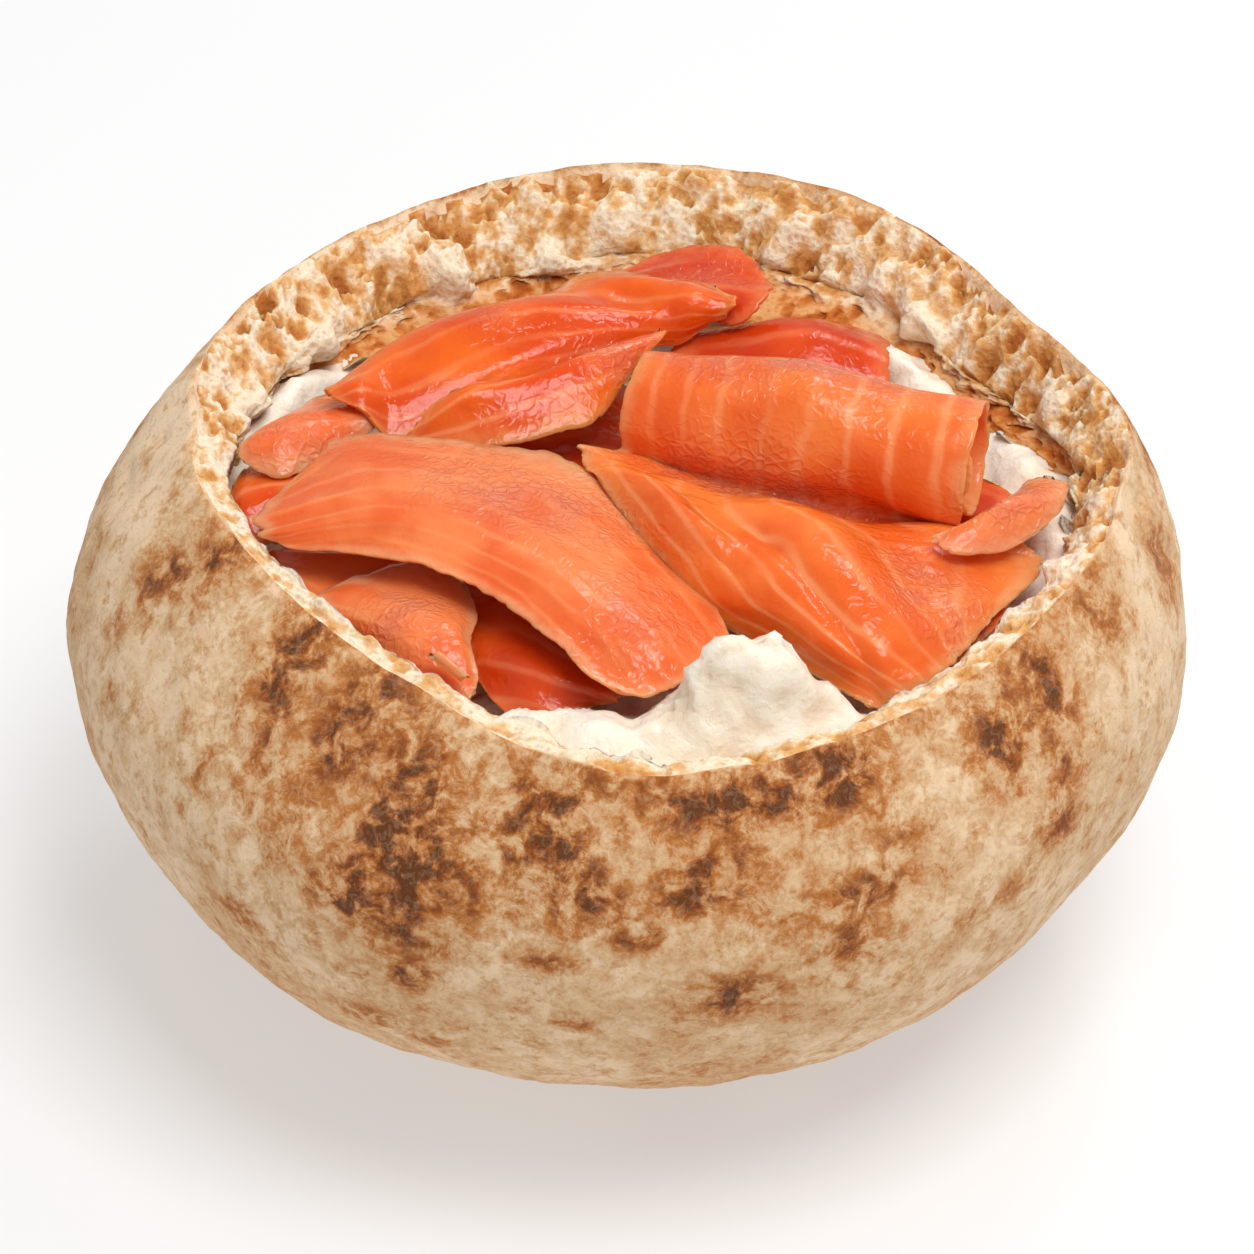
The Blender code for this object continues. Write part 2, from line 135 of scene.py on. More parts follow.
def maths(tree, operation, first, second=0.0, clamp=False):
    """One sum of two numbers or sockets."""
    inputs = {0: first, 1: second}
    made = add_node(tree, "ShaderNodeMath", inputs, operation=operation, use_clamp=clamp)
    return made.outputs[0]


def remap(tree, value, low, high, to_low=0.0, to_high=1.0):
    """The value's range from low to high, smoothly made to_low to to_high."""
    inputs = {0: value, 1: low, 2: high, 3: to_low, 4: to_high}
    made = add_node(tree, "ShaderNodeMapRange", inputs, interpolation_type="SMOOTHSTEP")
    return made.outputs[0]


def mix_colour(tree, share, first, second, blend="MIX"):
    """Two colours mixed by a share."""
    inputs = {0: share, 6: first, 7: second}
    made = add_node(tree, "ShaderNodeMix", inputs, data_type="RGBA", blend_type=blend)
    return made.outputs[2]


def ramp(tree, value, stops):
    """A colour for each value, from (place, colour) stops."""
    made = add_node(tree, "ShaderNodeValToRGB", {0: value})
    row = made.color_ramp.elements
    while len(row) < len(stops):
        row.new(1)
    for element, (place, colour) in zip(row, stops):
        element.position = place
        element.color = colour
    return made.outputs["Color"]


def bump(tree, height, distance, strength=1.0, normal=None):
    """A bump of this many millimetres."""
    inputs = {"Height": height, "Distance": distance * MM, "Strength": strength}
    if normal is not None:
        inputs["Normal"] = normal
    return add_node(tree, "ShaderNodeBump", inputs).outputs["Normal"]


def shade(red, green, blue):
    """A colour seen on a screen, 0 to 255, as the light that shaders work in."""
    parts = []
    for value in (red / 255, green / 255, blue / 255):
        parts.append(value / 12.92 if value <= 0.04045 else ((value + 0.055) / 1.055) ** 2.4)
    return (*parts, 1)


print("helpers ready; mid grey is", shade(128, 128, 128)[0])

# %% [markdown]
# ## Floor and light
#
# The bread stands on plain white, with one large soft lamp up in front and a little
# to the right, so that its shadow hides under it and to the left. A weaker lamp
# behind draws wet streaks on the fish, and the room is white all round.

# %% Floor and light
FLOOR_HALF_SIZE = 3
FLOOR_GREY = 0.50
FLOOR_GLOW = 0.42
SKY_STRENGTH = 0.48
LAMPS = {"key": ((0.22, -0.26, 0.98), 0.46, 7.0), "back": ((0.26, 0.56, 0.80), 0.26, 1.7)}


def make_floor():
    """A wide white floor at the height that the bread rests on."""
    body = bmesh.new()
    bmesh.ops.create_grid(body, x_segments=1, y_segments=1, size=FLOOR_HALF_SIZE)
    mesh = bpy.data.meshes.new("floor")
    body.to_mesh(mesh)
    body.free()
    floor = bpy.data.objects.new("floor", mesh)
    bpy.context.collection.objects.link(floor)
    material, tree, shader = new_material("white_floor")
    set_inputs(tree, shader, {
        "Base Color": (FLOOR_GREY, FLOOR_GREY, FLOOR_GREY, 1), "Roughness": 0.9,
        "Emission Color": (1, 1, 1, 1), "Emission Strength": FLOOR_GLOW,
    })
    mesh.materials.append(material)


def make_lamp(name, place, size, power):
    """A square soft lamp that faces the bread."""
    lamp = bpy.data.lights.new(name, "AREA")
    lamp.size = size
    lamp.energy = power
    made = bpy.data.objects.new(name, lamp)
    made.location = place
    made.rotation_euler = (LOOK_AT - Vector(place)).to_track_quat("-Z", "Y").to_euler()
    bpy.context.collection.objects.link(made)


def make_sky(strength):
    """Even white light from all round."""
    world = bpy.data.worlds.new("white_room")
    world.use_nodes = True
    back = world.node_tree.nodes["Background"]
    back.inputs["Color"].default_value = (1, 1, 1, 1)
    back.inputs["Strength"].default_value = strength
    bpy.context.scene.world = world


make_floor()
for lamp_name, lamp_values in LAMPS.items():
    make_lamp(lamp_name, *lamp_values)
make_sky(SKY_STRENGTH)
bpy.context.scene.view_settings.view_transform = "Standard"

# %% [markdown]
# ## The bread's shape
#
# A pita puffs up like a cushion, so it is turned about an upright axis, but nothing
# on it is truly round. Each size of it is therefore a small table round the compass,
# read as a smooth closed curve. The same values are in the part's own source.

# %% The bread's sizes
RIM_RADIUS = (66, 62, 66, 67, 63.5, 60.5, 57, 52, 52.5, 60, 60, 60.5)
RIM_HEIGHT = (79, 80, 80.5, 80.5, 80, 79.5, 79.5, 78.5, 76, 74, 74.5, 76.5)
BELLY_RADIUS = (74.5, 73, 71, 70, 71, 73.7, 75, 72, 71.5, 70, 71.5, 72.3)
RIM_WALL = (7, 8, 9, 9.5, 9, 8, 5, 3, 4.5, 5.5, 5, 5)
RIM_DROP = (2.5, 4, 5, 5, 5, 3.5, 1.5, 0.5, 0.3, 0.3, 0.3, 0.8)
BED_EDGE = (68.5, 69, 69.5, 69, 69, 68.5, 69, 70, 71, 71.5, 71, 70)
BED_RADIUS = (60, 53, 53, 55, 53, 55, 54.5, 52, 50.5, 55.5, 56.5, 57.5)
BELLY_HEIGHT = 50
LOWER_DEPTH = 52.5
BELLY_WALL = 8
FLOOR_WALL = 7


def through(before, start, end, after, part):
    """A smooth curve's place between start and end, given its neighbours."""
    bend = 3 * (start - end) + after - before
    swing = 2 * before - 5 * start + 4 * end - after
    return start + 0.5 * part * (end - before + part * (swing + part * bend))


def around(table, azimuth):
    """The table's value at an azimuth in degrees, on a smooth closed curve."""
    place = azimuth / 360 * len(table)
    first = math.floor(place)
    near = [table[(first + step) % len(table)] for step in (-1, 0, 1, 2)]
    return through(*near, place - first)


def smooth_step(value):
    """0 below 0, 1 above 1, and smooth between."""
    value = np.clip(value, 0, 1)
    return value * value * (3 - 2 * value)


def waves(x, y, z, length, seed):
    """Smooth noise from -1 to 1 whose bumps are about this long."""
    return noise.noise(Vector((x / length + seed, y / length, z / length)))


def spot(radius, azimuth):
    """The x and y of a radius and an azimuth."""
    turn = math.radians(azimuth)
    return radius * math.cos(turn), radius * math.sin(turn)


def off_azimuth(azimuth, other):
    """The turn from other to azimuth, from -180 to 180 degrees."""
    return (azimuth - other + 180) % 360 - 180


def turned_to(x, y, turn):
    """A point's places along and across a line that is turned by some degrees."""
    cosine, sine = spot(1, turn)
    return x * cosine + y * sine, y * cosine - x * sine


print("rim at the front:", around(RIM_HEIGHT, 270), "mm high")

# %% The bread's faces
def crust(azimuth, level):
    """(radius, height) on the crust: level is -1 at the foot, 0 at the belly and 1 at the rim."""
    belly = around(BELLY_RADIUS, azimuth)
    if level < 0:
        turn = -level * math.asin(BELLY_HEIGHT / LOWER_DEPTH)
        return belly * math.cos(turn), BELLY_HEIGHT - LOWER_DEPTH * math.sin(turn)
    rim, top = around(RIM_RADIUS, azimuth), around(RIM_HEIGHT, azimuth)
    return belly + (rim - belly) * level**2, BELLY_HEIGHT + (top - BELLY_HEIGHT) * level


def torn_wall(azimuth, level):
    """(radius, height) on the torn inner face: level is 0 at the cheese's edge and 1 at the rim."""
    radius = around(RIM_RADIUS, azimuth) - around(RIM_WALL, azimuth)
    height = around(RIM_HEIGHT, azimuth) - around(RIM_DROP, azimuth)
    edge_radius, edge_height = around(BED_RADIUS, azimuth), around(BED_EDGE, azimuth)
    return (
        edge_radius + (radius - edge_radius) * level,
        edge_height + (height - edge_height) * level,
    )


def cavity(azimuth, level):
    """(radius, height) on the cavity's face: level is 1 at the cheese's edge and -1 at the floor."""
    belly = around(BELLY_RADIUS, azimuth) - BELLY_WALL
    if level < 0:
        depth = LOWER_DEPTH - FLOOR_WALL / 2
        turn = -level * math.asin((BELLY_HEIGHT - FLOOR_WALL) / depth)
        return belly * math.cos(turn), BELLY_HEIGHT - depth * math.sin(turn)
    radius, height = torn_wall(azimuth, 0)
    return belly + (radius - belly) * level**2, BELLY_HEIGHT + (height - BELLY_HEIGHT) * level


# %% Dents and worn crumb
DENT_DEPTH = 1.3
DENT_LENGTH = 34
DENT_SEED = 3.7
SMOOTH_FOOT = 12
CRAG_DEPTH = 1.4
CRAG_LENGTH = 9
CRAG_SEED = 9.1
THICK_RIM = 8
SEAMS = (173, -7)
SEAM_DEPTH = 1.6
SEAM_HALF_ANGLE = 7


def dent(azimuth, radius, height):
    """How far the bread's wall stands out at a point."""
    x, y = spot(radius, azimuth)
    out = DENT_DEPTH * waves(x, y, height, DENT_LENGTH, DENT_SEED)
    near_rim = max(0, (height - BELLY_HEIGHT) / (RIM_HEIGHT[0] - BELLY_HEIGHT))
    for seam in SEAMS:
        off = off_azimuth(azimuth, seam)
        out -= SEAM_DEPTH * near_rim * math.exp(-((off / SEAM_HALF_ANGLE) ** 2))
    return out * min(1, height / SMOOTH_FOOT)


def crag(azimuth, radius, height):
    """How far the torn crumb is worn back at a point."""
    x, y = spot(radius, azimuth)
    depth = CRAG_DEPTH * min(1, around(RIM_WALL, azimuth) / THICK_RIM)
    return depth * (0.5 + waves(x, y, height, CRAG_LENGTH, CRAG_SEED))


def bread_point(face, level, azimuth):
    """The (radius, height) of a ring of the bread at an azimuth."""
    if face == "crust":
        radius, height = crust(azimuth, level)
    elif face == "cavity":
        radius, height = cavity(azimuth, level)
    elif face == "crag":
        radius, height = torn_wall(azimuth, level)
        radius += crag(azimuth, radius, height)
    else:
        outer, inner = crust(azimuth, 1), torn_wall(azimuth, 1)
        radius, height = (a + (b - a) * level for a, b in zip(outer, inner))
        height += crag(azimuth, radius, height) - CRAG_DEPTH / 2
    return radius + dent(azimuth, radius, height), height


# %% [markdown]
# ## Turning a body
#
# A line of points is spun round the axis, and then every point is moved to its real
# place. A spin keeps the mesh in even rings and spokes, which is what a later
# displacement wants: the cells stay about half a millimetre wide where the crumb is,
# and get coarse where nobody looks.

# %% Turning a body
CAVITY_LEVELS = (1, 0.5, 0, -0.25, -0.5, -0.75, -1)


def face_outwards(body):
    """Turns all faces of a closed body outwards."""
    bmesh.ops.recalc_face_normals(body, faces=body.faces)
    if body.calc_volume(signed=True) < 0:
        bmesh.ops.reverse_faces(body, faces=body.faces)


def turned(profile, point, first_hub, last_hub, steps):
    """A closed body turned from rings, which keeps each point's ring and its azimuth."""
    body = bmesh.new()
    line = [body.verts.new((1, 0, ring)) for ring in range(len(profile))]
    edges = [body.edges.new(pair) for pair in zip(line, line[1:])]
    bmesh.ops.spin(
        body, geom=line + edges, axis=(0, 0, 1), cent=(0, 0, 0),
        angle=math.tau, steps=steps, use_merge=True,
    )
    for ring, height in ((0, first_hub), (len(profile) - 1, last_hub)):
        end = [edge for edge in body.edges if all(round(v.co.z) == ring for v in edge.verts)]
        hub = body.verts.new((0, 0, ring))
        for edge in end:
            body.faces.new((*edge.verts, hub))
        hub.co = (0, 0, height)
        hub.tag = True
    ring_of = body.verts.layers.int.new("ring")
    for vert in body.verts:
        if vert.tag:
            vert[ring_of] = -1
            continue
        vert[ring_of] = round(vert.co.z)
        azimuth = math.degrees(math.atan2(vert.co.y, vert.co.x))
        radius, height = point(*profile[vert[ring_of]], azimuth)
        vert.co = (*spot(radius, azimuth), height)
    face_outwards(body)
    body.normal_update()
    return body


def finished(name, body, materials):
    """Makes an object of a body in millimetres, which stands for the solid of its name."""
    bmesh.ops.scale(body, vec=(MM, MM, MM), verts=body.verts)
    mesh = bpy.data.meshes.new(name)
    body.to_mesh(mesh)
    body.free()
    for material in materials:
        mesh.materials.append(material)
    mesh.shade_smooth()
    made = bpy.data.objects.new(name + "_look", mesh)
    bpy.context.collection.objects.link(made)
    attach(made, "root")
    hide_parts(name)
    print(made.name, len(mesh.polygons), "faces")


# %% [markdown]
# ## Crust
#
# The skin of a pita is smooth to the hand but never flat: flour, small blisters and
# soft folds. Where a blister touched the hot stone it is toasted, in blurred
# clusters with a dark heart. The clusters are listed as a table of azimuth,
# height, half width, half height and strength, and the far side gets seeded ones.

# %% Where the crust is toasted
TOASTED = (
    (244.6, 65, 4.6, 5.5, 1.15), (239.8, 56.4, 3.4, 2.8, 0.85), (221.8, 74.5, 3.6, 4.5, 0.8),
    (235.8, 72.3, 4, 3.6, 0.7), (232.8, 69.5, 3, 3, 0.4), (200.8, 75.5, 3.6, 3.4, 0.6),
    (195.9, 71, 3.4, 3, 0.65), (248, 46.1, 2.6, 1.8, 0.8), (246.6, 53.9, 4.5, 4, 0.45),
    (226.8, 45.2, 2.6, 1.6, 0.5), (242.2, 34.9, 4.5, 1.4, 0.55), (262.4, 63, 4.4, 4, 0.62),
    (266.4, 60.4, 3.4, 2.6, 0.55), (260.4, 67.5, 5, 3, 0.5), (262.2, 51.7, 2.4, 1.2, 0.75),
    (271.3, 55.8, 3, 1.6, 0.65), (279.2, 63.4, 4.6, 2.8, 0.75), (276, 60.8, 3.4, 2, 0.5),
    (280.5, 46, 4.6, 3, 0.9), (295, 71, 4.6, 3, 0.95), (285.6, 70.4, 6, 2.6, 0.75),
    (278.2, 70.8, 5, 2, 0.6), (295.5, 57.9, 4.5, 2, 0.8), (292.9, 51.8, 4, 4, 0.5),
    (315.3, 68, 4.4, 3.6, 0.8), (324.3, 69.8, 3.6, 4.6, 0.72), (320.2, 53.9, 3, 2.4, 0.65),
    (322.2, 60.6, 2.6, 3, 0.45), (336.9, 72, 4, 3.6, 0.5), (354.6, 66.3, 4, 5, 0.5),
    (306.5, 48.2, 1.8, 1.8, 0.45), (264.6, 41.2, 2.4, 1, 0.5), (248.1, 32.1, 3, 1.4, 0.3),
    (279.5, 28.9, 4, 1.2, 0.35), (225.4, 67.4, 2, 4, 0.4), (219.2, 61.1, 2, 2.6, 0.4),
    (200.1, 57.1, 1.8, 1.8, 0.35), (195.1, 63.5, 1.8, 2, 0.4), (181.8, 64, 1.6, 2, 0.4),
    (251.3, 60.7, 7, 5, 0.35), (262.3, 70.5, 6, 2, 0.45), (300, 63.9, 4, 3, 0.3),
    (312.6, 49, 3, 2, 0.25), (231, 61.2, 5, 4, 0.3), (285.7, 58, 4, 3, 0.3),
    (266, 66, 20, 9, 0.16), (246, 60, 10, 12, 0.14), (226, 68, 8, 8, 0.12), (318, 66, 8, 8, 0.1),
)
FAR_SIDE_SPOTS = 46
FAR_SIDE_SEED = 11
FAR_SIDE_AZIMUTHS = (0, 172)
FAR_SIDE_HEIGHTS = (12, 77)
FAR_SIDE_WIDTHS = (1.6, 5)
FAR_SIDE_ROUNDNESS = (0.4, 1)
FAR_SIDE_STRENGTHS = (0.3, 0.9)


def far_side_spots():
    """Seeded clusters for the side that faces away from the camera."""
    random.seed(FAR_SIDE_SEED)
    spots = []
    for _ in range(FAR_SIDE_SPOTS):
        azimuth = random.uniform(*FAR_SIDE_AZIMUTHS)
        height = random.uniform(*FAR_SIDE_HEIGHTS)
        wide = random.uniform(*FAR_SIDE_WIDTHS)
        tall = wide * random.uniform(*FAR_SIDE_ROUNDNESS)
        spots.append((azimuth, height, wide, tall, random.uniform(*FAR_SIDE_STRENGTHS)))
    return spots


ALL_SPOTS = TOASTED + tuple(far_side_spots())
print(len(ALL_SPOTS), "toasted spots")

# %% Toast at a point, and the creases at the seams
TOAST_RADIUS = 68
CREASES = (
    ((174.3, 78.3), (177.7, 70.9), (180.9, 65.4), (183, 60)),
    ((-6, 77.5), (-9.2, 72.7), (-3, 66), (0, 61)),
)
EDGE_TOAST = 0.2
EDGE_TOAST_HEIGHT = 3.2
EDGE_TOAST_GAP = 12
BASE_TOAST = 0.08
TOAST_ENDS = 9
TOAST_FALL = 0.8
PALE_HALF_ANGLE = 24
PALE_FROM = 52
PALE_OVER = 20
CREASE_HALF_WIDTH = 1.1
CREASE_DEPTH = 0.55


def toast_at(azimuth, height):
    """How toasted the crust is there, before its mottling."""
    total = 0
    for spot_azimuth, spot_height, wide, tall, strength in ALL_SPOTS:
        across = math.radians(off_azimuth(azimuth, spot_azimuth)) * TOAST_RADIUS / wide
        up = (height - spot_height) / tall
        away = across * across + up * up
        if away < TOAST_ENDS:
            total += strength * math.exp(-away * TOAST_FALL)
    return total


def pale_seam(azimuth, height):
    """1 where the two skins of the bread meet near the rim, which stays pale."""
    off = min(abs(off_azimuth(azimuth, turn)) for turn in SEAMS)
    low = float(smooth_step((height - PALE_FROM) / PALE_OVER))
    return math.exp(-((off / PALE_HALF_ANGLE) ** 2)) * low


def edge_toast(azimuth, height):
    """The brown line that runs along the torn edge of the crust."""
    below = around(RIM_HEIGHT, azimuth) - height
    off = min(abs(off_azimuth(azimuth, turn)) for turn in SEAMS)
    seam = math.exp(-((off / EDGE_TOAST_GAP) ** 2))
    return EDGE_TOAST * (1 - seam) * math.exp(-((below / EDGE_TOAST_HEIGHT) ** 2))


def crease_at(azimuth, height):
    """1 in the middle of a crease and 0 away from it."""
    nearest = math.inf
    for line in CREASES:
        flat = [
            (math.radians(off_azimuth(azimuth, turn)) * TOAST_RADIUS, height - level)
            for turn, level in line
        ]
        for (ax, ay), (bx, by) in zip(flat, flat[1:]):
            dx, dy = bx - ax, by - ay
            part = -(ax * dx + ay * dy) / (dx * dx + dy * dy)
            part = min(1, max(0, part))
            nearest = min(nearest, math.hypot(ax + part * dx, ay + part * dy))
    return math.exp(-((nearest / CREASE_HALF_WIDTH) ** 2))


print("toast in the darkest cluster:", round(toast_at(*TOASTED[0][:2]), 2))

# %% [markdown]
# ## Crumb
#
# Torn bread shows its bubbles: round pits of many sizes, with thin pale walls left
# between them, on top of ragged lumps. A Voronoi pattern gives both at once. Its
# cell borders are the walls, and some of its cells, picked by a number of their own,
# are sunk. Three sizes of cell over each other look like bread. The low lip at the
# front is too thin for bubbles: it has flaky layers and a few standing tufts.

# %% Crumb relief
BUBBLES = ((3.6, 0.4, 1.5, 1.7), (2.0, 0.7, 1.1, 8.4), (1.15, 0.85, 0.45, 4.6))
RAGGED = ((8, 1.3, 2.2), (3.4, 1.4, 6.1), (1.5, 0.7, 3.3))
BUBBLE_WALL = 0.5
BUBBLE_PICK = 9.7
PATCH_LENGTH = 10
PATCH_SEED = 6.7
PATCH_CONTRAST = 1.6
PATCH_LEAST = 0.4
PATCH_MORE = 1.1
TUFT_LENGTH = 5.5
TUFT_HEIGHT = 4.2
TUFT_SEED = 12.1
# painted light: raised tufts are painted paler than the crumb around them
TUFT_PAINTED_LIGHT = 0.12
LIP_TUFTS = ((218, 3.6, 3.2), (229, 2.4, 2.0), (240, 2.8, 2.4), (300, 2.4, 1.6), (320, 3, 1.4))
LAYERS = 2.5
LAYER_HEIGHT = 0.4
LAYER_WAVER = (2, 12, 4.4)
TUFT_WAVER = (0.8, 1.8, 9.6)
TUFT_MIDDLE = 0.75
TUFT_SHARE = 0.3
CRUST_BUMPS = ((0.42, 7, 2.9), (0.16, 2.4, 5.8))
CRAG_FLATNESS = 0.7
INNER_DROP = 6.5
DROP_FROM = 0.25
DROP_POWER = 1.5
THIN_RELIEF = 0.15
THIN_FROM = 0.5
THIN_OVER = 0.35
THIN_PIT = 0.1
LOW_RELIEF = 0.4
LEDGE = (1, 3.5, 7, 7, 6.5, 2.5, 1, 0, 0, 0, 0, 0)


def bubble_at(place, size, flatness, share, seed):
    """How deep a point lies in a bubble: 0 on a wall and 1 in the middle."""
    x, y, z = place
    distances, centres = noise.voronoi(Vector((x / size + seed, y / size, z / (size * flatness))))
    if noise.cell(centres[0] * BUBBLE_PICK) > share:
        return 0
    return float(smooth_step((distances[1] - distances[0]) / BUBBLE_WALL))


def crumb_at(place, flatness):
    """(how far the crumb is sunk at a point, how deep in bubbles it is)."""
    pit = 0
    patch = 0.5 + PATCH_CONTRAST * waves(*place, PATCH_LENGTH, PATCH_SEED)
    strength = PATCH_LEAST + PATCH_MORE * min(1, max(0, patch))
    for size, share, depth, seed in BUBBLES:
        deep = bubble_at(place, size, flatness, 2 * share - 1, seed) * strength
        pit += depth * deep
    sunk = pit
    for length, height, seed in RAGGED:
        sunk -= height * waves(*place, length, seed)
    return sunk, pit / sum(bubble[2] for bubble in BUBBLES)


print("crumb sinks by", round(crumb_at((60, 5, 78), 1)[0], 2), "mm at one point")

# %% The bread's rings and its relief
BREAD_STEPS = 600
CRUST_RINGS = 52
UPPER_RINGS = 34
TORN_RINGS = 18
CRAG_RINGS = 32


def fine_bread_profile():
    """The rings from the foot over the rim to the cavity's floor."""
    lower = [("crust", step / CRUST_RINGS - 1) for step in range(CRUST_RINGS)]
    upper = [("crust", step / UPPER_RINGS) for step in range(UPPER_RINGS + 1)]
    torn = [("torn", step / TORN_RINGS) for step in range(1, TORN_RINGS)]
    crags = [("crag", 1 - step / CRAG_RINGS) for step in range(CRAG_RINGS)]
    return lower + upper + torn + crags + [("cavity", level) for level in CAVITY_LEVELS]


def crust_relief(place, azimuth):
    """How far the crust stands out at a point."""
    out = sum(height * waves(*place, length, seed) for height, length, seed in CRUST_BUMPS)
    out -= CREASE_DEPTH * crease_at(azimuth, place[2])
    return out * min(1, place[2] / SMOOTH_FOOT)


def out_of_crumb(face, level, azimuth):
    """The way the torn face looks: up on top of the rim, turning inwards down the wall."""
    share = 0.4 * level**2 if face == "torn" else 0.4 + 0.6 * math.sin(math.pi * level)
    x, y = spot(1, azimuth)
    return Vector((-x * share, -y * share, 1 - share)).normalized()


def tuft_at(face, level, place):
    """How far a tuft of crumb hangs out at the inner edge of the torn face."""
    near = level**3 if face == "torn" else max(0, level - 0.5) * 2
    return TUFT_HEIGHT * near * 2 * max(0, waves(*place, TUFT_LENGTH, TUFT_SEED))


def lip_at(level, place, azimuth):
    """The thin flaky layers of the low lip, and the tufts that stand on it."""
    waver, *waver_wave = LAYER_WAVER
    turns = LAYERS * level + waver * waves(*place, *waver_wave)
    layers = LAYER_HEIGHT * math.sin(math.tau * turns)
    tufts = 0
    for turn, wide, height in LIP_TUFTS:
        across = math.radians(off_azimuth(azimuth, turn)) * TOAST_RADIUS / wide
        tufts += height * math.exp(-(across**2) - ((level - TUFT_MIDDLE) / TUFT_SHARE) ** 2)
    uneven, *uneven_wave = TUFT_WAVER
    return layers + tufts * (uneven + uneven * waves(*place, *uneven_wave))


def crumb_move(face, level, place, azimuth):
    """How a point of the crumb moves, and its tone: how deep in a pit it lies, for painted shade, less on
    tufts, for painted light.
    """
    torn = face == "torn"
    sunk, pit = crumb_at(place, 1 if torn else CRAG_FLATNESS)
    edge = min(1, level * TORN_RINGS / 3) if torn else 1
    thick = min(1, around(RIM_WALL, azimuth) / THICK_RIM)
    full = float(smooth_step((thick - THIN_FROM) / THIN_OVER))
    thin = THIN_RELIEF + (1 - THIN_RELIEF) * full
    tuft = tuft_at(face, level, place)
    calm = 1 if torn else LOW_RELIEF + (1 - LOW_RELIEF) * level
    move = out_of_crumb(face, level, azimuth) * (tuft - sunk) * edge * thin * calm
    if torn:
        move.z -= INNER_DROP * thin * max(0, level - DROP_FROM) ** DROP_POWER
    elif face == "crag":
        move.z -= INNER_DROP * thin * (1 - DROP_FROM) ** DROP_POWER * level
    if face != "cavity":
        move.z += (1 - thick) * edge * lip_at(level if torn else 2 - level, place, azimuth)
    if not torn:
        inwards = around(LEDGE, azimuth) * (1 - level if face == "crag" else 1) ** 2
        move.xy -= place.xy.normalized() * inwards
    # the tone is painted shade in the pits, lightened on the tufts as painted light
    return move, pit * (THIN_PIT + (1 - THIN_PIT) * thin) - TUFT_PAINTED_LIGHT * tuft


def sculpt_bread(body, profile):
    """Moves each point outwards or inwards, and keeps toast, pits and depth as attributes."""
    ring_of = body.verts.layers.int["ring"]
    toast_of = body.verts.layers.float.new("toast")
    pit_of = body.verts.layers.float.new("pit")
    deep_of = body.verts.layers.float.new("deep")
    moves = []
    for vert in body.verts:
        face, level = profile[vert[ring_of]]
        if vert[ring_of] < 0 or (face == "cavity" and level < 1):
            continue
        azimuth = math.degrees(math.atan2(vert.co.y, vert.co.x))
        if face == "crust":
            move = vert.normal * crust_relief(vert.co, azimuth)
            vert[toast_of] = toast_at(azimuth, vert.co.z) + edge_toast(azimuth, vert.co.z)
            vert[toast_of] += BASE_TOAST * (1 - pale_seam(azimuth, vert.co.z))
        else:
            move, vert[pit_of] = crumb_move(face, level, vert.co, azimuth)
            vert[deep_of] = 0 if face == "torn" else 1 - level
        moves.append((vert, move))
    for vert, move in moves:
        vert.co += move


print("bread rings:", len(fine_bread_profile()))

# %% [markdown]
# ## Crust material
#
# The colour goes from pale flour through tan to dark brown with the toast attribute,
# broken up by noise so that a cluster has islands and a ragged edge. Fine curly
# noise gives the dry skin its bloom, in colour and in bump.

# %% Crust material
def crust_material():
    """Dry, floury skin with toasted clusters."""
    material, tree, shader = new_material("pita_crust")
    place = object_place(tree)
    mottle = noise_at(tree, place, 3.6, 5, 0.65, 0.4)
    broad = noise_at(tree, place, 24, 3)
    curl = noise_at(tree, place, 1.5, 4, 0.7, 1.6)
    islands = remap(tree, mottle, 0.36, 0.67, 0.18, 1.45)
    toast = maths(tree, "MULTIPLY", attribute_of(tree, "toast"), islands)
    blush = remap(tree, broad, 0.4, 0.7, 0.0, 0.14)
    fleck = remap(tree, noise_at(tree, place, 3.4, 5, 0.7), 0.5, 0.72, 0.0, 0.24)
    level = maths(tree, "ADD", maths(tree, "ADD", toast, blush), fleck, clamp=True)
    colour = ramp(tree, level, (
        (0.0, shade(240, 211, 178)),
        (0.12, shade(212, 171, 127)),
        (0.34, shade(188, 119, 58)),
        (0.66, shade(148, 78, 30)),
        (1.0, shade(96, 48, 18)),
    ))
    bloom = remap(tree, level, 0.0, 0.8, 0.42, 0.14)
    curled = maths(tree, "MULTIPLY", remap(tree, curl, 0.42, 0.66), bloom)
    pale = mix_colour(tree, curled, colour, shade(234, 206, 164))
    dark = mix_colour(tree, remap(tree, curl, 0.5, 0.28, 0.0, 0.3), pale, shade(160, 104, 56))
    fine = noise_at(tree, place, 0.5, 3, 0.6)
    relief = bump(tree, fine, 0.12, 0.6)
    relief = bump(tree, curl, 0.3, 0.7, relief)
    set_inputs(tree, shader, {
        "Base Color": dark, "Roughness": 0.82, "Normal": relief,
        "Specular IOR Level": 0.15, "Sheen Weight": 0.04, "Sheen Roughness": 0.5,
        "Subsurface Weight": 0.12, "Subsurface Scale": 0.002,
        "Subsurface Radius": (1.0, 0.5, 0.25),
    })
    return material


# %% [markdown]
# ## Crumb material
#
# Inside, the walls of the bubbles are cream-white and let some light through. The
# pits are painted a darker yellow-tan, partly the crumb's own tan and partly painted
# shade in the hollows, and the standing tufts are painted paler as painted light. The
# pit attribute drives that colour, and a fine Voronoi adds the smallest pores, which
# are too small for the mesh.

# %% Crumb material
PORE_SIZE = 1.1


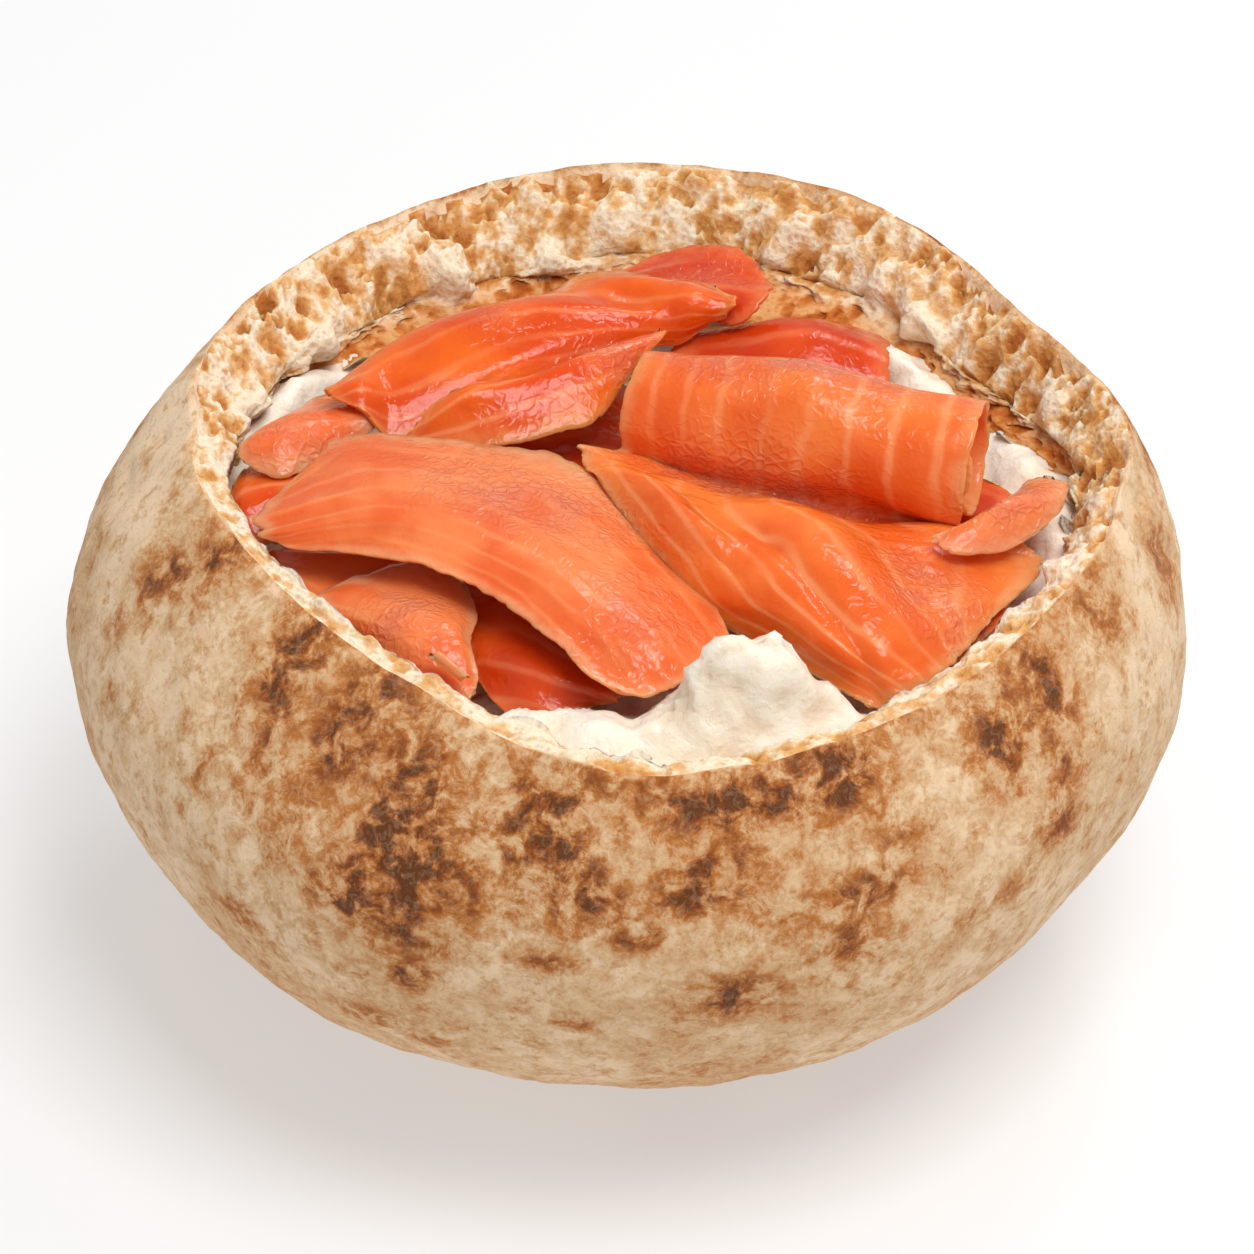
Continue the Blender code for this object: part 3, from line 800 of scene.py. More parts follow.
def crumb_material():
    """Soft, porous inside of the bread."""
    material, tree, shader = new_material("pita_crumb")
    place = object_place(tree)
    cells = {"Vector": place, "Scale": 1 / (PORE_SIZE * MM)}
    pores = add_node(tree, "ShaderNodeTexVoronoi", cells, feature="F1").outputs["Distance"]
    uneven = remap(tree, noise_at(tree, place, 3, 4), 0.35, 0.7, -0.15, 0.3)
    tone = maths(tree, "ADD", attribute_of(tree, "pit"), uneven, clamp=True)
    colour = ramp(tree, tone, (
        (0.0, shade(247, 228, 200)),
        (0.13, shade(236, 200, 154)),
        (0.36, shade(218, 158, 90)),
        (0.8, shade(184, 112, 50)),
    ))
    # painted shade: the middles of the smallest pores are painted darker
    speckled = mix_colour(tree, remap(tree, pores, 0.5, 0.1, 0.0, 0.4), colour, shade(200, 146, 90))
    # painted shade down the inner wall, warmed as painted orange light bounced from the salmon
    shaded = remap(tree, attribute_of(tree, "deep"), 0.0, 0.7, 0.0, 0.95)
    speckled = mix_colour(tree, shaded, speckled, shade(230, 178, 126), "MULTIPLY")
    fine = noise_at(tree, place, 0.8, 4, 0.65)
    relief = bump(tree, fine, 0.5, 0.8)
    relief = bump(tree, pores, 0.5, 0.7, relief)
    set_inputs(tree, shader, {
        "Base Color": speckled, "Roughness": 0.9, "Normal": relief,
        "Specular IOR Level": 0.2, "Subsurface Weight": 0.35,
        "Subsurface Scale": 0.003, "Subsurface Radius": (1.0, 0.6, 0.35),
    })
    return material


# %% The bread
EDGE_RINGS = 2
EDGE_WAVE = (4, 7.7)


def make_bread():
    """The bread: a turned shell, sculpted, with crust outside and crumb inside."""
    profile = fine_bread_profile()
    body = turned(profile, bread_point, 0, FLOOR_WALL, BREAD_STEPS)
    sculpt_bread(body, profile)
    ring_of = body.verts.layers.int["ring"]
    last_crust = CRUST_RINGS + UPPER_RINGS
    for face in body.faces:
        rings = [vert[ring_of] for vert in face.verts]
        middle = face.calc_center_median()
        torn_by = EDGE_RINGS * (0.5 + waves(*middle, *EDGE_WAVE))
        if min(rings) >= last_crust + torn_by:
            face.material_index = 1
    finished("pita_bread", body, [crust_material(), crumb_material()])


make_bread()

# %% [markdown]
# ## Cream cheese
#
# Cheese that was spread with a knife keeps long soft ridges along the stroke, and
# breaks into small lumps where the knife left it. The body is the same turned bed as
# the solid, in finer rings, and two kinds of noise are laid over it: a stretched one
# for the strokes, and a lumpy one that shows most on the high dollops.

# %% The cheese's sizes
BED_DIP = 6
BED_SLOPE = 5
BED_LUMP = 1.2
BED_LUMP_LENGTH = 13
BED_SEED = 5.3
BED_BLEND = 0.12
CLEARANCE = 0.45
DOLLOP_FALL = 1.3
DOLLOPS = (
    (14, -46, 8, 8, 4, -15, 16),
    (24, -47, 8, 5, 4, -40, 9),
    (-2, -48, 17, 6, 5, -3, 4.5),
    (38, 32, 8, 5, 6, -45, 5),
    (54, 4, 13, 5, 5, -80, 5),
    (-46, 28, 12, 5, 5, 52, 5),
    (-54, 7, 6, 4, 4, 80, 5),
)


def bed_height(x, y):
    """The height of the cheese's top at a point."""
    azimuth = math.degrees(math.atan2(y, x))
    edge = around(BED_EDGE, azimuth)
    share = math.hypot(x, y) / cavity(azimuth, 1)[0]
    height = edge - BED_DIP * smooth_step((1 - share) * BED_SLOPE)
    height += BED_LUMP * waves(x, y, 0, BED_LUMP_LENGTH, BED_SEED)
    for middle_x, middle_y, length, wide_out, wide_in, turn, rise in DOLLOPS:
        along, across = turned_to(x - middle_x, y - middle_y, turn)
        outwards = across * turned_to(middle_x, middle_y, turn)[1] > 0
        width = wide_out if outwards else wide_in
        off = (along / length) ** 2 + (across / width) ** 2
        height += rise * math.exp(-(off**DOLLOP_FALL))
    return height


def cheese_point(face, level, azimuth):
    """The (radius, height) of a ring of the cheese at an azimuth, clear of the bread."""
    radius, height = cavity(azimuth, level if face == "side" else 1)
    radius += dent(azimuth, radius, height) - CLEARANCE
    if face == "side":
        return radius, height + CLEARANCE * max(0, -level)
    radius *= level
    near_wall = smooth_step((level - 1) / BED_BLEND + 1)
    return radius, bed_height(*spot(radius, azimuth)) * (1 - near_wall) + height * near_wall


# %% Cheese relief
CHEESE_STEPS = 420
CHEESE_RINGS = 96
STROKE_TURN = 12
STROKES = ((3.6, 3.0, 0.9, 1.9), (1.7, 2.5, 0.45, 6.6))
LUMPS = ((6, 1.9, 3.1), (2.8, 1.2, 7.2), (1.4, 0.6, 2.2))
MOUNDS = (
    (-6, -46, 12, 4, 3, 2.0), (22, -44, 6, 4, -35, 2.2), (56, -8, 8, 3.5, -80, 3.2),
    (38, 28, 8, 4, -45, 2.4), (-45, 23, 8, 4, 52, 2.2),
)
WALL_SPREAD = 1.1
WALL_CALM = 0.6
LUMPS_LOW = 0.35
LUMPS_HIGH = 0.75


def cheese_relief(x, y, z):
    """How far the cheese's top stands out at a point."""
    along, across = turned_to(x, y, STROKE_TURN)
    out = 0
    for width, stretch, height, seed in STROKES:
        ridge = 1 - 2 * abs(waves(along / stretch, across, z, width, seed))
        out += height * (ridge - 0.5)
    edge = around(BED_EDGE, math.degrees(math.atan2(y, x)))
    high = float(smooth_step((z - edge + 1) / 5))
    for length, height, seed in LUMPS:
        out += height * (LUMPS_LOW + LUMPS_HIGH * high) * waves(x, y, z, length, seed)
    return out


def mound_at(x, y):
    """How much cheese is heaped on the bed at a point."""
    total = 0
    for middle_x, middle_y, length, width, turn, rise in MOUNDS:
        along, across = turned_to(x - middle_x, y - middle_y, turn)
        total += rise * math.exp(-((along / length) ** 2) - (across / width) ** 2)
    return total


def cheese_body(rings, steps):
    """The plain bed of cheese, with this many rings on top and steps round the compass."""
    top = [("top", step / rings) for step in range(1, rings + 1)]
    profile = top + [("side", level) for level in CAVITY_LEVELS[1:]]
    hubs = bed_height(0.01, 0), FLOOR_WALL + CLEARANCE
    return turned(profile, cheese_point, *hubs, steps)


# %% Cheese material
def cheese_material():
    """Soft white cheese that lets light a little way in."""
    material, tree, shader = new_material("cream_cheese")
    place = object_place(tree)
    tone = remap(tree, noise_at(tree, place, 7, 3), 0.35, 0.7)
    colour = mix_colour(tree, tone, shade(247, 238, 222), shade(241, 226, 203))
    # painted shade: the cheese is painted darker where its relief is low, in its hollows
    painted_shade_in_hollows = remap(tree, attribute_of(tree, "fluff"), 0.2, -0.9, 0.0, 0.55)
    colour = mix_colour(tree, painted_shade_in_hollows, colour, shade(232, 208, 178))
    grain = noise_at(tree, place, 0.9, 4, 0.65)
    relief = bump(tree, grain, 0.35, 0.6)
    relief = bump(tree, noise_at(tree, place, 2.2, 3, 0.5, 0.8), 0.6, 0.6, relief)
    set_inputs(tree, shader, {
        "Base Color": colour, "Roughness": 0.42, "Normal": relief,
        "Specular IOR Level": 0.4, "Subsurface Weight": 0.4,
        "Subsurface Scale": 0.0025, "Subsurface Radius": (1.0, 0.75, 0.5),
        "Coat Weight": 0.1, "Coat Roughness": 0.35,
    })
    return material


# %% The cheese
def make_cheese():
    """The bed of cheese, with its strokes and lumps."""
    body = cheese_body(CHEESE_RINGS, CHEESE_STEPS)
    ring_of = body.verts.layers.int["ring"]
    fluff_of = body.verts.layers.float.new("fluff")
    for vert in body.verts:
        if 0 <= vert[ring_of] < CHEESE_RINGS:
            share = (vert[ring_of] + 1) / CHEESE_RINGS
            relief = cheese_relief(*vert.co)
            vert[fluff_of] = relief
            move = vert.normal * relief + Vector((0, 0, mound_at(*vert.co.xy)))
            near_wall = float(smooth_step((share - 1) / BED_BLEND + 1))
            vert.co += move * (1 - WALL_CALM * near_wall)
            vert.co.xy *= 1 + WALL_SPREAD * near_wall / math.hypot(vert.co.x, vert.co.y)
    finished("cream_cheese", body, [cheese_material()])


make_cheese()

# %% [markdown]
# ## Laying the salmon
#
# Each slice is a sheet over a few rails, and the slices lie on each other like cards
# in a loose pile. A slice rises only where what is under it isn't clear. To come to
# the same places as the solids, the pile is built up here in the same order and with
# the same coarse cages, and each cage is then made fine.

# %% The slices, from the bottom of the pile up
SLICE_THICKNESS = 2.4
EDGE_SHARE = 0.5
EDGE_TAPER = 5
SLICE_STEP = 4.5
FEWEST_ROWS = 5
WANDER = 0.9
WANDER_LENGTH = 9
WANDER_SEEDS = (1.3, 4.9, 8.2)
SLICE_GAP = 0.35
CELL = 0.5
REACH = 72
LIFT_ROUNDS = 12
LIFT_CELLS = 6
BLUR_CELLS = 3
WALL_GAP = 1
TINY_AREA = 1e-9

# Rails of (x, y, z) places in millimetres, which each slice's sheet goes through
SLICES = {
    "salmon_base_front": (
        ((-48, -8, 69), (-40, -10, 70), (-27, -10, 69)),
        ((-47, -14, 69), (-38, -18, 70), (-26, -18, 69)),
        ((-44, -21, 68), (-36, -27, 69), (-26, -29, 68)),
    ),
    "salmon_base_right": (
        ((33, -39, 69), (46, -32, 70)),
        ((36, -12, 68), (50, -12, 70)),
        ((37, 7, 69), (50, 6, 71)),
    ),
    "salmon_base_middle": (
        ((-20, -4, 69), (-9, -6, 69), (3, -7, 67)),
        ((-23, 7, 71), (-9, 6, 72), (3, 7, 69)),
        ((-21, 21, 71), (-8, 20, 72), (3, 20, 69)),
    ),
    "salmon_front_inner": (
        ((-18, -40, 70), (-12, -43, 70), (-3, -42, 70)),
        ((-21, -28, 72), (-11, -36, 74), (-1, -41, 72)),
        ((-20, -14, 71), (-8, -21, 72), (3, -31, 71)),
    ),
    "salmon_front_outer": (
        ((-36, -29, 71.5), (-28, -38, 73), (-22, -42, 72.5), (-18, -43, 72)),
        ((-39, -26, 73), (-30, -32, 76.5), (-23, -34, 76.5), (-20, -35, 75)),
        ((-40, -23, 72.5), (-33, -21, 74), (-26, -18, 74.5), (-19, -22, 74)),
    ),
    "salmon_scrap": (
        ((-26, -43, 76), (-22, -45, 75.5), (-19, -45, 75)),
        ((-27, -40, 77.5), (-24, -40, 78), (-20, -41, 77)),
    ),
    "salmon_left_outer": (
        ((-50, -10, 71.5), (-47, -11, 72.5), (-41, -7, 72)),
        ((-53, -6, 74.5), (-48, -5, 76), (-41, -2, 75.5)),
        ((-53, 2, 73), (-48, 4, 74), (-40, 7, 73)),
    ),
    "salmon_left_inner": (
        ((-52, 0, 74), (-45, -1, 75.5), (-37, 4, 75.5)),
        ((-51, 4, 76.8), (-45, 6, 79.5), (-37, 8, 79)),
        ((-47, 12, 74), (-43, 15, 75.5), (-36, 18, 75)),
    ),
    "salmon_back_right": (
        ((13, 17, 74), (24, 16, 74), (34, 17, 74)),
        ((13, 28, 78), (24, 27, 80), (34, 25, 77.5)),
        ((13, 37, 73), (25, 39, 73), (35, 35, 73)),
    ),
    "salmon_back_top": (
        ((-4, 38, 76), (8, 33, 77), (16, 25, 76.5)),
        ((-4, 39, 78.5), (8, 35, 80.5), (18, 31, 80.5)),
        ((-4, 43, 78), (9, 43, 81.5), (20, 40, 82)),
    ),
    "salmon_back_left": (
        ((-37, 8, 76.5), (-30, 7, 77), (-21, 11, 78), (-10, 17, 79), (2, 24, 79), (10, 27, 77)),
        ((-38, 10, 77.5), (-30, 12, 80), (-20, 16, 81.5), (-9, 21, 82.5), (3, 25, 81), (11, 27, 79)),
        ((-39, 13, 77.5), (-31, 22, 81), (-21, 25, 83.5), (-9, 28, 84), (3, 28, 82.5), (12, 28, 79.5)),
        ((-37, 21, 73.5), (-30, 31, 75), (-20, 37, 76), (-8, 40, 76.5), (3, 37, 77), (11, 33, 78)),
    ),
    "salmon_front_left": (
        ((-47, -18, 77), (-35, -21, 79), (-25, -26, 80.5), (-16, -32, 80), (-8, -40, 78.5), (-1, -48, 76)),
        ((-47, -14, 78.5), (-34, -14, 82), (-20, -19, 82.5), (-7, -28, 81.5), (3, -38, 79), (8, -42, 75.5)),
        ((-42, -1, 77), (-36, 2, 79.5), (-22, -1, 80.5), (-7, -4, 79), (5, -19, 76), (14, -31, 73.5)),
    ),
    "salmon_rolled": (
        ((30, -43, 71), (34, -42, 72.5), (40, -37, 73), (46, -29, 72)),
        ((18, -32, 72.5), (26, -38, 77.5), (34, -32, 77), (49, -23, 73)),
        ((5, -19, 73), (14, -23, 79.5), (29, -21, 78), (52, -17, 73.5)),
        ((-4, -6, 77), (6, -9, 79.8), (24, -13, 77.5), (50, -14, 74.5)),
        ((-5, -1, 80.8), (9, -3, 76.2), (26, -8, 75.2), (46, -12, 74.5)),
    ),
    "salmon_pleat": (
        ((-31, 4, 77), (-20, 2, 79), (-11, 4, 80), (-4, 7, 80.5), (-1, 11, 80.5)),
        ((-26, 6, 79), (-18, 8, 82), (-10, 11, 84), (-2, 15, 84.5), (4, 19, 84)),
        ((-24, 11, 77), (-17, 13, 79.5), (-9, 16, 81), (-1, 21, 81.5), (5, 24, 81.5)),
    ),
    "salmon_right_tip": (
        ((38, -19, 76), (44, -19, 77.5), (54, -15, 75.5)),
        ((41, -17, 78), (48, -14, 80.5), (56, -9, 79)),
        ((49, -10, 77), (51, -7, 78.5), (56, -2, 77)),
    ),
}

# The roll's axis, its radii and first angles along it, and its steps
ROLLS = {
    "salmon_rolled": (
        ((2, 8.7, 80), (14, 5.6, 80), (29, 1, 80), (44.5, -3.5, 79.3)),
        (7.8, 8.4, 8.8, 8.2), (75, 55, 46, 42), 15,
    ),
}
ROLL_END = 540
ROLL_NARROWS = 200
ROLL_PITCH = 4.7

# %% The pile
class Pile:
    """The height of what already lies in the bread, on a square grid of cells."""

    def __init__(self):
        cells = int(2 * REACH / CELL) + 1
        self.top = np.full((cells, cells), -np.inf)

    def skins(self, body):
        """The lowest and the highest face of a body over each cell."""
        low = np.full_like(self.top, np.inf)
        high = np.full_like(self.top, -np.inf)
        corners = np.array([[vert.co for vert in face.verts] for face in body.faces])
        for a, b, c in (corners + (REACH, REACH, 0)) / (CELL, CELL, 1):
            x0, x1 = math.ceil(min(a[0], b[0], c[0])), math.floor(max(a[0], b[0], c[0]))
            y0, y1 = math.ceil(min(a[1], b[1], c[1])), math.floor(max(a[1], b[1], c[1]))
            area = (b[0] - a[0]) * (c[1] - a[1]) - (b[1] - a[1]) * (c[0] - a[0])
            if x1 < x0 or y1 < y0 or abs(area) < TINY_AREA:
                continue
            x, y = np.meshgrid(np.arange(x0, x1 + 1), np.arange(y0, y1 + 1), indexing="ij")
            u = ((x - a[0]) * (c[1] - a[1]) - (y - a[1]) * (c[0] - a[0])) / area
            v = ((y - a[1]) * (b[0] - a[0]) - (x - a[0]) * (b[1] - a[1])) / area
            inside = (u >= 0) & (v >= 0) & (u + v <= 1)
            height = a[2] + u * (b[2] - a[2]) + v * (c[2] - a[2])
            here = (slice(x0, x1 + 1), slice(y0, y1 + 1))
            low[here] = np.where(inside, np.minimum(low[here], height), low[here])
            high[here] = np.where(inside, np.maximum(high[here], height), high[here])
        return low, high

    def add(self, body):
        """Lays the body on the pile."""
        self.top = np.maximum(self.top, self.skins(body)[1])

    def lift_for(self, body):
        """How far the body must rise over each cell, spread a little to the cells around."""
        low = self.skins(body)[0]
        short = np.where(np.isfinite(low), spread(self.top, 1, np.max) + SLICE_GAP - low, 0)
        return spread(spread(np.maximum(short, 0), LIFT_CELLS, np.max), BLUR_CELLS, np.mean)


def spread(field, reach, join):
    """The field with each cell joined to those within reach, by maximum or by mean."""
    for axis in (0, 1):
        shifted = [np.roll(field, step, axis) for step in range(-reach, reach + 1)]
        field = join(shifted, 0)
    return field


# %% A slice's cage
def read_along(points, count):
    """Points at even steps along a smooth curve through the given ones."""
    points = np.asarray(points, float)
    ends = 2 * points[:1] - points[1:2], 2 * points[-1:] - points[-2:-1]
    padded = np.concatenate([ends[0], points, ends[1]])
    place = np.linspace(0, len(points) - 1, count)
    first = np.minimum(place.astype(int), len(points) - 2)
    part = (place - first).reshape(-1, *[1] * (points.ndim - 1))
    return through(*(padded[first + step] for step in range(4)), part)


def length_of(points):
    """The length of a line of points."""
    return np.linalg.norm(np.diff(np.asarray(points, float), axis=0), axis=1).sum()


def sheet_grid(rails):
    """The sheet's grid of points, a few millimetres apart, with a little unevenness."""
    count = round(max(length_of(rail) for rail in rails) / SLICE_STEP) + 1
    lines = np.array([read_along(rail, count) for rail in rails])
    rows = round(max(length_of(lines[:, k]) for k in range(count)) / SLICE_STEP) + 1
    grid = read_along(lines, max(rows, FEWEST_ROWS)).transpose(1, 0, 2)
    for point in grid.reshape(-1, 3):
        off = [waves(*point, WANDER_LENGTH, seed) for seed in WANDER_SEEDS]
        point += WANDER * np.array(off)
    return grid


def rolled_up(grid, axis, radii, first_angles, steps):
    """The grid with its back edge going on into a roll round this axis."""
    middle = read_along(axis, len(grid))
    radius = read_along(np.array(radii)[:, None], len(grid))
    first = read_along(np.array(first_angles)[:, None], len(grid))
    along = middle[-1, :2] - middle[0, :2]
    front = np.array((along[1], -along[0])) / np.linalg.norm(along)
    turns = []
    for step in range(steps + 1):
        angle = first + (ROLL_END - first) * step / steps
        inner = radius - ROLL_PITCH * np.maximum(0, angle - ROLL_NARROWS) / 360
        bend = np.radians(angle)
        turns.append(middle + inner * np.hstack([front * np.sin(bend), -np.cos(bend)]))
    return np.concatenate([grid, np.array(turns).transpose(1, 0, 2)], axis=1)


def off_edges(count, rows, step_u, step_v):
    """How far each point of a grid lies from the nearest edge."""
    side = np.minimum(np.arange(count), np.arange(count)[::-1])[:, None] * step_u
    end = np.minimum(np.arange(rows), np.arange(rows)[::-1])[None, :] * step_v
    return np.minimum(side, end)


def thickness(off_edge, taper, edge_share):
    """How thick a slice is this far from its edge."""
    return SLICE_THICKNESS * (edge_share + (1 - edge_share) * smooth_step(off_edge / taper))


def grid_body(points):
    """A flat body through a grid of points, which keeps the number of each."""
    count, rows = points.shape[:2]
    body = bmesh.new()
    bmesh.ops.create_grid(body, x_segments=count - 1, y_segments=rows - 1, size=0.5)
    place = body.verts.layers.int.new("place")
    for vert in body.verts:
        i = round((vert.co.x + 0.5) * (count - 1))
        j = round((vert.co.y + 0.5) * (rows - 1))
        vert[place] = i * rows + j
        vert.co = points[i, j]
    return body


def thicken(body, ups, thick):
    """Closes a flat body with an under face, this far below each of its points."""
    place = body.verts.layers.int["place"]
    under = bmesh.ops.extrude_face_region(body, geom=body.faces, use_keep_orig=True)
    for vert in under["geom"]:
        if isinstance(vert, bmesh.types.BMVert):
            vert.co -= Vector(ups[vert[place]]) * thick[vert[place]]


def sheet_body(grid):
    """A slice's body: the grid thickened downwards, thinner at its edges, both faces split alike."""
    body = grid_body(grid)
    place = body.verts.layers.int["place"]
    bmesh.ops.triangulate(body, faces=body.faces)
    body.normal_update()
    normals = {vert[place]: vert.normal.copy() for vert in body.verts}
    off_edge = off_edges(*grid.shape[:2], SLICE_STEP, SLICE_STEP)
    thicken(body, normals, thickness(off_edge, EDGE_TAPER, EDGE_SHARE).ravel())
    bmesh.ops.triangulate(body, faces=body.faces)
    return body


def keep_inside(body):
    """Moves the body's points that are in the bread's wall, or too near to it, inwards."""
    for vert in body.verts:
        azimuth = math.degrees(math.atan2(vert.co.y, vert.co.x))
        (foot, low), (rim, high) = torn_wall(azimuth, 0), torn_wall(azimuth, 1)
        face = foot + (rim - foot) * np.clip((vert.co.z - low) / (high - low), 0, 1)
        most = face + dent(azimuth, face, vert.co.z) - WALL_GAP
        radius = math.hypot(vert.co.x, vert.co.y)
        if radius > most:
            vert.co.x *= most / radius
            vert.co.y *= most / radius


def laid(rails, roll, pile):
    """A slice's body, lifted where it isn't clear of the pile, and added to it."""
    grid = sheet_grid(rails)
    if roll:
        grid = rolled_up(grid, *roll)
    body = sheet_body(grid)
    for _ in range(LIFT_ROUNDS):
        keep_inside(body)
        lift = pile.lift_for(body)
        if lift.max() < SLICE_GAP / 4:
            break
        for vert in body.verts:
            i, j = (round((value + REACH) / CELL) for value in vert.co[:2])
            vert.co.z += lift[i, j]
    pile.add(body)
    return body, grid.shape[:2]


# %% Cages of all slices
COARSE_RINGS = 14
COARSE_STEPS = 90


def all_cages():
    """The grid of points on top of each slice, once it is laid."""
    pile = Pile()
    bed = cheese_body(COARSE_RINGS, COARSE_STEPS)
    bmesh.ops.triangulate(bed, faces=bed.faces)
    pile.add(bed)
    bed.free()
    cages = {}
    for name, rails in SLICES.items():
        body, shape = laid(rails, ROLLS.get(name), pile)
        place = body.verts.layers.int["place"]
        grid = np.zeros((shape[0] * shape[1], 3))
        for vert in list(body.verts)[:len(grid)]:
            grid[vert[place]] = vert.co
        cages[name] = grid.reshape(*shape, 3)
        body.free()
    return cages


cages = all_cages()
highest = max(cage[..., 2].max() for cage in cages.values())
print("highest point of the salmon:", round(highest, 1), "mm")

# %% [markdown]
# ## From a coarse cage to a fine slice
#
# A slice of smoked fish has a torn, paper-thin edge, rounded corners and a skin full
# of small wet wrinkles. The coarse cage only says how it folds. It is read again as a
# smooth surface at steps of about half a millimetre, its four edges are torn back by
# noise, and wrinkles are raised along its own normals.

# %% Reading a cage anywhere
def on_cage(cage, u, v):
    """Points of the smooth sheet through a cage, where u and v go from 0 to 1."""
    for axis in (0, 1):
        before = 2 * cage.take([0], axis) - cage.take([1], axis)
        after = 2 * cage.take([-1], axis) - cage.take([-2], axis)
        cage = np.concatenate([before, cage, after], axis)
    u = u * (cage.shape[0] - 3)
    v = v * (cage.shape[1] - 3)
    i = np.clip(u.astype(int), 0, cage.shape[0] - 4)
    j = np.clip(v.astype(int), 0, cage.shape[1] - 4)
    part_u, part_v = (u - i)[..., None], (v - j)[..., None]
    lines = [through(*(cage[i + a, j + b] for a in range(4)), part_u) for b in range(4)]
    return through(*lines, part_v)


# %% Torn edges
CORNER = 6
SPARE = 1.5
LONG_SPARE = {
    "salmon_base_middle": (1.5, 9, 1.5, 8), "salmon_back_right": (8, 1.5, 1.5, 3),
    "salmon_back_left": (1.5, 4, 1.5, 1.5), "salmon_left_inner": (1.5, 5, 1.5, 4),
}
TEARS = ((9, 1.6), (2.8, 1.0), (1.2, 0.5))
EDGE_SEEDS = (0.1, 1.7, 3.1, 4.9)


def torn_edge(length, count, seed, raggedness, spare):
    """How far a slice's edge is torn back along its length, in millimetres."""
    places = np.linspace(0, length, count)
    back = [
        raggedness * sum(size * max(0, waves(place, seed, 0, wide, seed)) for wide, size in TEARS)
        for place in places
    ]
    from_corner = np.minimum(places, length - places)
    rounding = 0.5 * CORNER * np.clip(1 - from_corner / CORNER, 0, 1) ** 2
    return np.array(back) + rounding - spare


def trimmed_places(wide, deep, count, rows, seed, raggedness, spare):
    """Where each fine point lies on the cage, once the four edges are torn back."""
    left, right, front, back = (
        torn_edge(*along, seed + k, raggedness, out)
        for k, out, along in zip(EDGE_SEEDS, spare, ((deep, rows),) * 2 + ((wide, count),) * 2)
    )
    left, right, front, back = left / wide, right / wide, front / deep, back / deep
    across = np.linspace(0, 1, count)[:, None]
    along = np.linspace(0, 1, rows)[None, :]
    u = left[None, :] + across * (1 - left - right)[None, :]
    v = front[:, None] + along * (1 - front - back)[:, None]
    return u, v


# %% Wrinkles and thickness
FINE_STEP = 0.55
FINE_EDGE = 0.2
FINE_TAPER = 4.5
RIDGE = 2.4
WRINKLES = ((9, 1.8, 0.26, 2.4), (3.4, 2.2, 0.07, 5.2), (1.6, 1.6, 0.025, 7.9))


def wrinkles_over(points, u_mm, v_mm, seed, wet):
    """How far each fine point stands out."""
    out = np.zeros(points.shape[:2])
    for size, stretch, height, shift in WRINKLES:
        for index in np.ndindex(out.shape):
            place = (u_mm[index] / stretch, v_mm[index], 0)
            out[index] += wet * height * (1 - RIDGE * abs(waves(*place, size, seed + shift)))
    return out


def normals_of(points):
    """The upward direction of the sheet at each point."""
    cross = np.cross(np.gradient(points, axis=0), np.gradient(points, axis=1))
    return cross / np.maximum(np.linalg.norm(cross, axis=2, keepdims=True), 1e-9)


# %% Wet film
FILM_HEIGHT = 6
# wet zones: crackled, with a stronger coat, and painted a paler pink sheen
FILM = (
    (21, 5, 86, 15, 4, -14, 1.0), (17, -3, 76, 13, 3.5, -10, 1.0), (36.6, -26, 73, 8, 6, -45, 1.1),
    (-14, -13, 79, 13, 7, -20, 0.8), (-28, -32, 75, 5, 5, 0, 0.7), (-2, 17, 82, 4, 4, 0, 0.8),
    (49, -12, 79, 6, 3, 25, 0.9), (-43, 4, 77, 5, 4, 20, 0.6), (2, -34, 78, 6, 6, 0, 0.5),
    (9, 36, 78, 6, 4, 0, 0.6), (-18, 24, 84, 3, 3, 0, 0.3),
)


def film_at(points):
    """How much wet, crackled film lies on the flesh at each point; the material also paints a paler pink
    sheen there.
    """
    total = np.zeros(points.shape[:2])
    for x, y, z, long, wide, turn, strength in FILM:
        dx, dy, dz = (points[..., k] - middle for k, middle in enumerate((x, y, z)))
        along, across = turned_to(dx, dy, turn)
        off = (along / long) ** 2 + (across / wide) ** 2 + (dz / FILM_HEIGHT) ** 2
        total += strength * np.exp(-off)
    return np.minimum(total, 1)


# %% Folds that a slice has beside its cage
FOLDS = {"salmon_rolled": ((9.5, -6.5), (31.7, -41.4), 1.7, 5.5, 0.9)}
RAISED = {"salmon_scrap": 0.3}
SAG_LENGTH = 17
SAG = 2.2
VALLEY_HALF_WIDTH = 1.2
VALLEY_OFF = 0.8


def folded(points, start, end, rise, wide, drop):
    """How far points stand out along a fold: a soft ridge, and then a sharp valley."""
    ahead = np.array(end) - start
    length = np.linalg.norm(ahead)
    off_start = points[..., :2] - start
    along = off_start @ ahead / length**2
    off = (off_start[..., 0] * ahead[1] - off_start[..., 1] * ahead[0]) / -length
    ridge = rise * np.exp(-(((off - wide) / wide) ** 2)) * (off > 0)
    ridge += rise * math.exp(-1) * np.exp(-((off / VALLEY_HALF_WIDTH) ** 2)) * (off <= 0)
    valley = drop * np.exp(-(((off + VALLEY_OFF) / VALLEY_HALF_WIDTH) ** 2))
    return (ridge - valley) * smooth_step(along * 4) * smooth_step((1.3 - along) * 4)


# %% A fine slice
def slice_points(name, u, v, size, seed, wet):
    """The points on top of a slice, with their wrinkles and folds, and their directions."""
    points = on_cage(cages[name], u, v)
    ups = normals_of(points)
    out = wrinkles_over(points, u * size[0], v * size[1], seed, wet) + RAISED.get(name, 0)
    if name in FOLDS:
        sag = [waves(*points[index], SAG_LENGTH, seed) for index in np.ndindex(u.shape)]
        out = out + folded(points, *FOLDS[name]) + SAG * np.reshape(sag, u.shape)
    return points + ups * out[..., None], ups


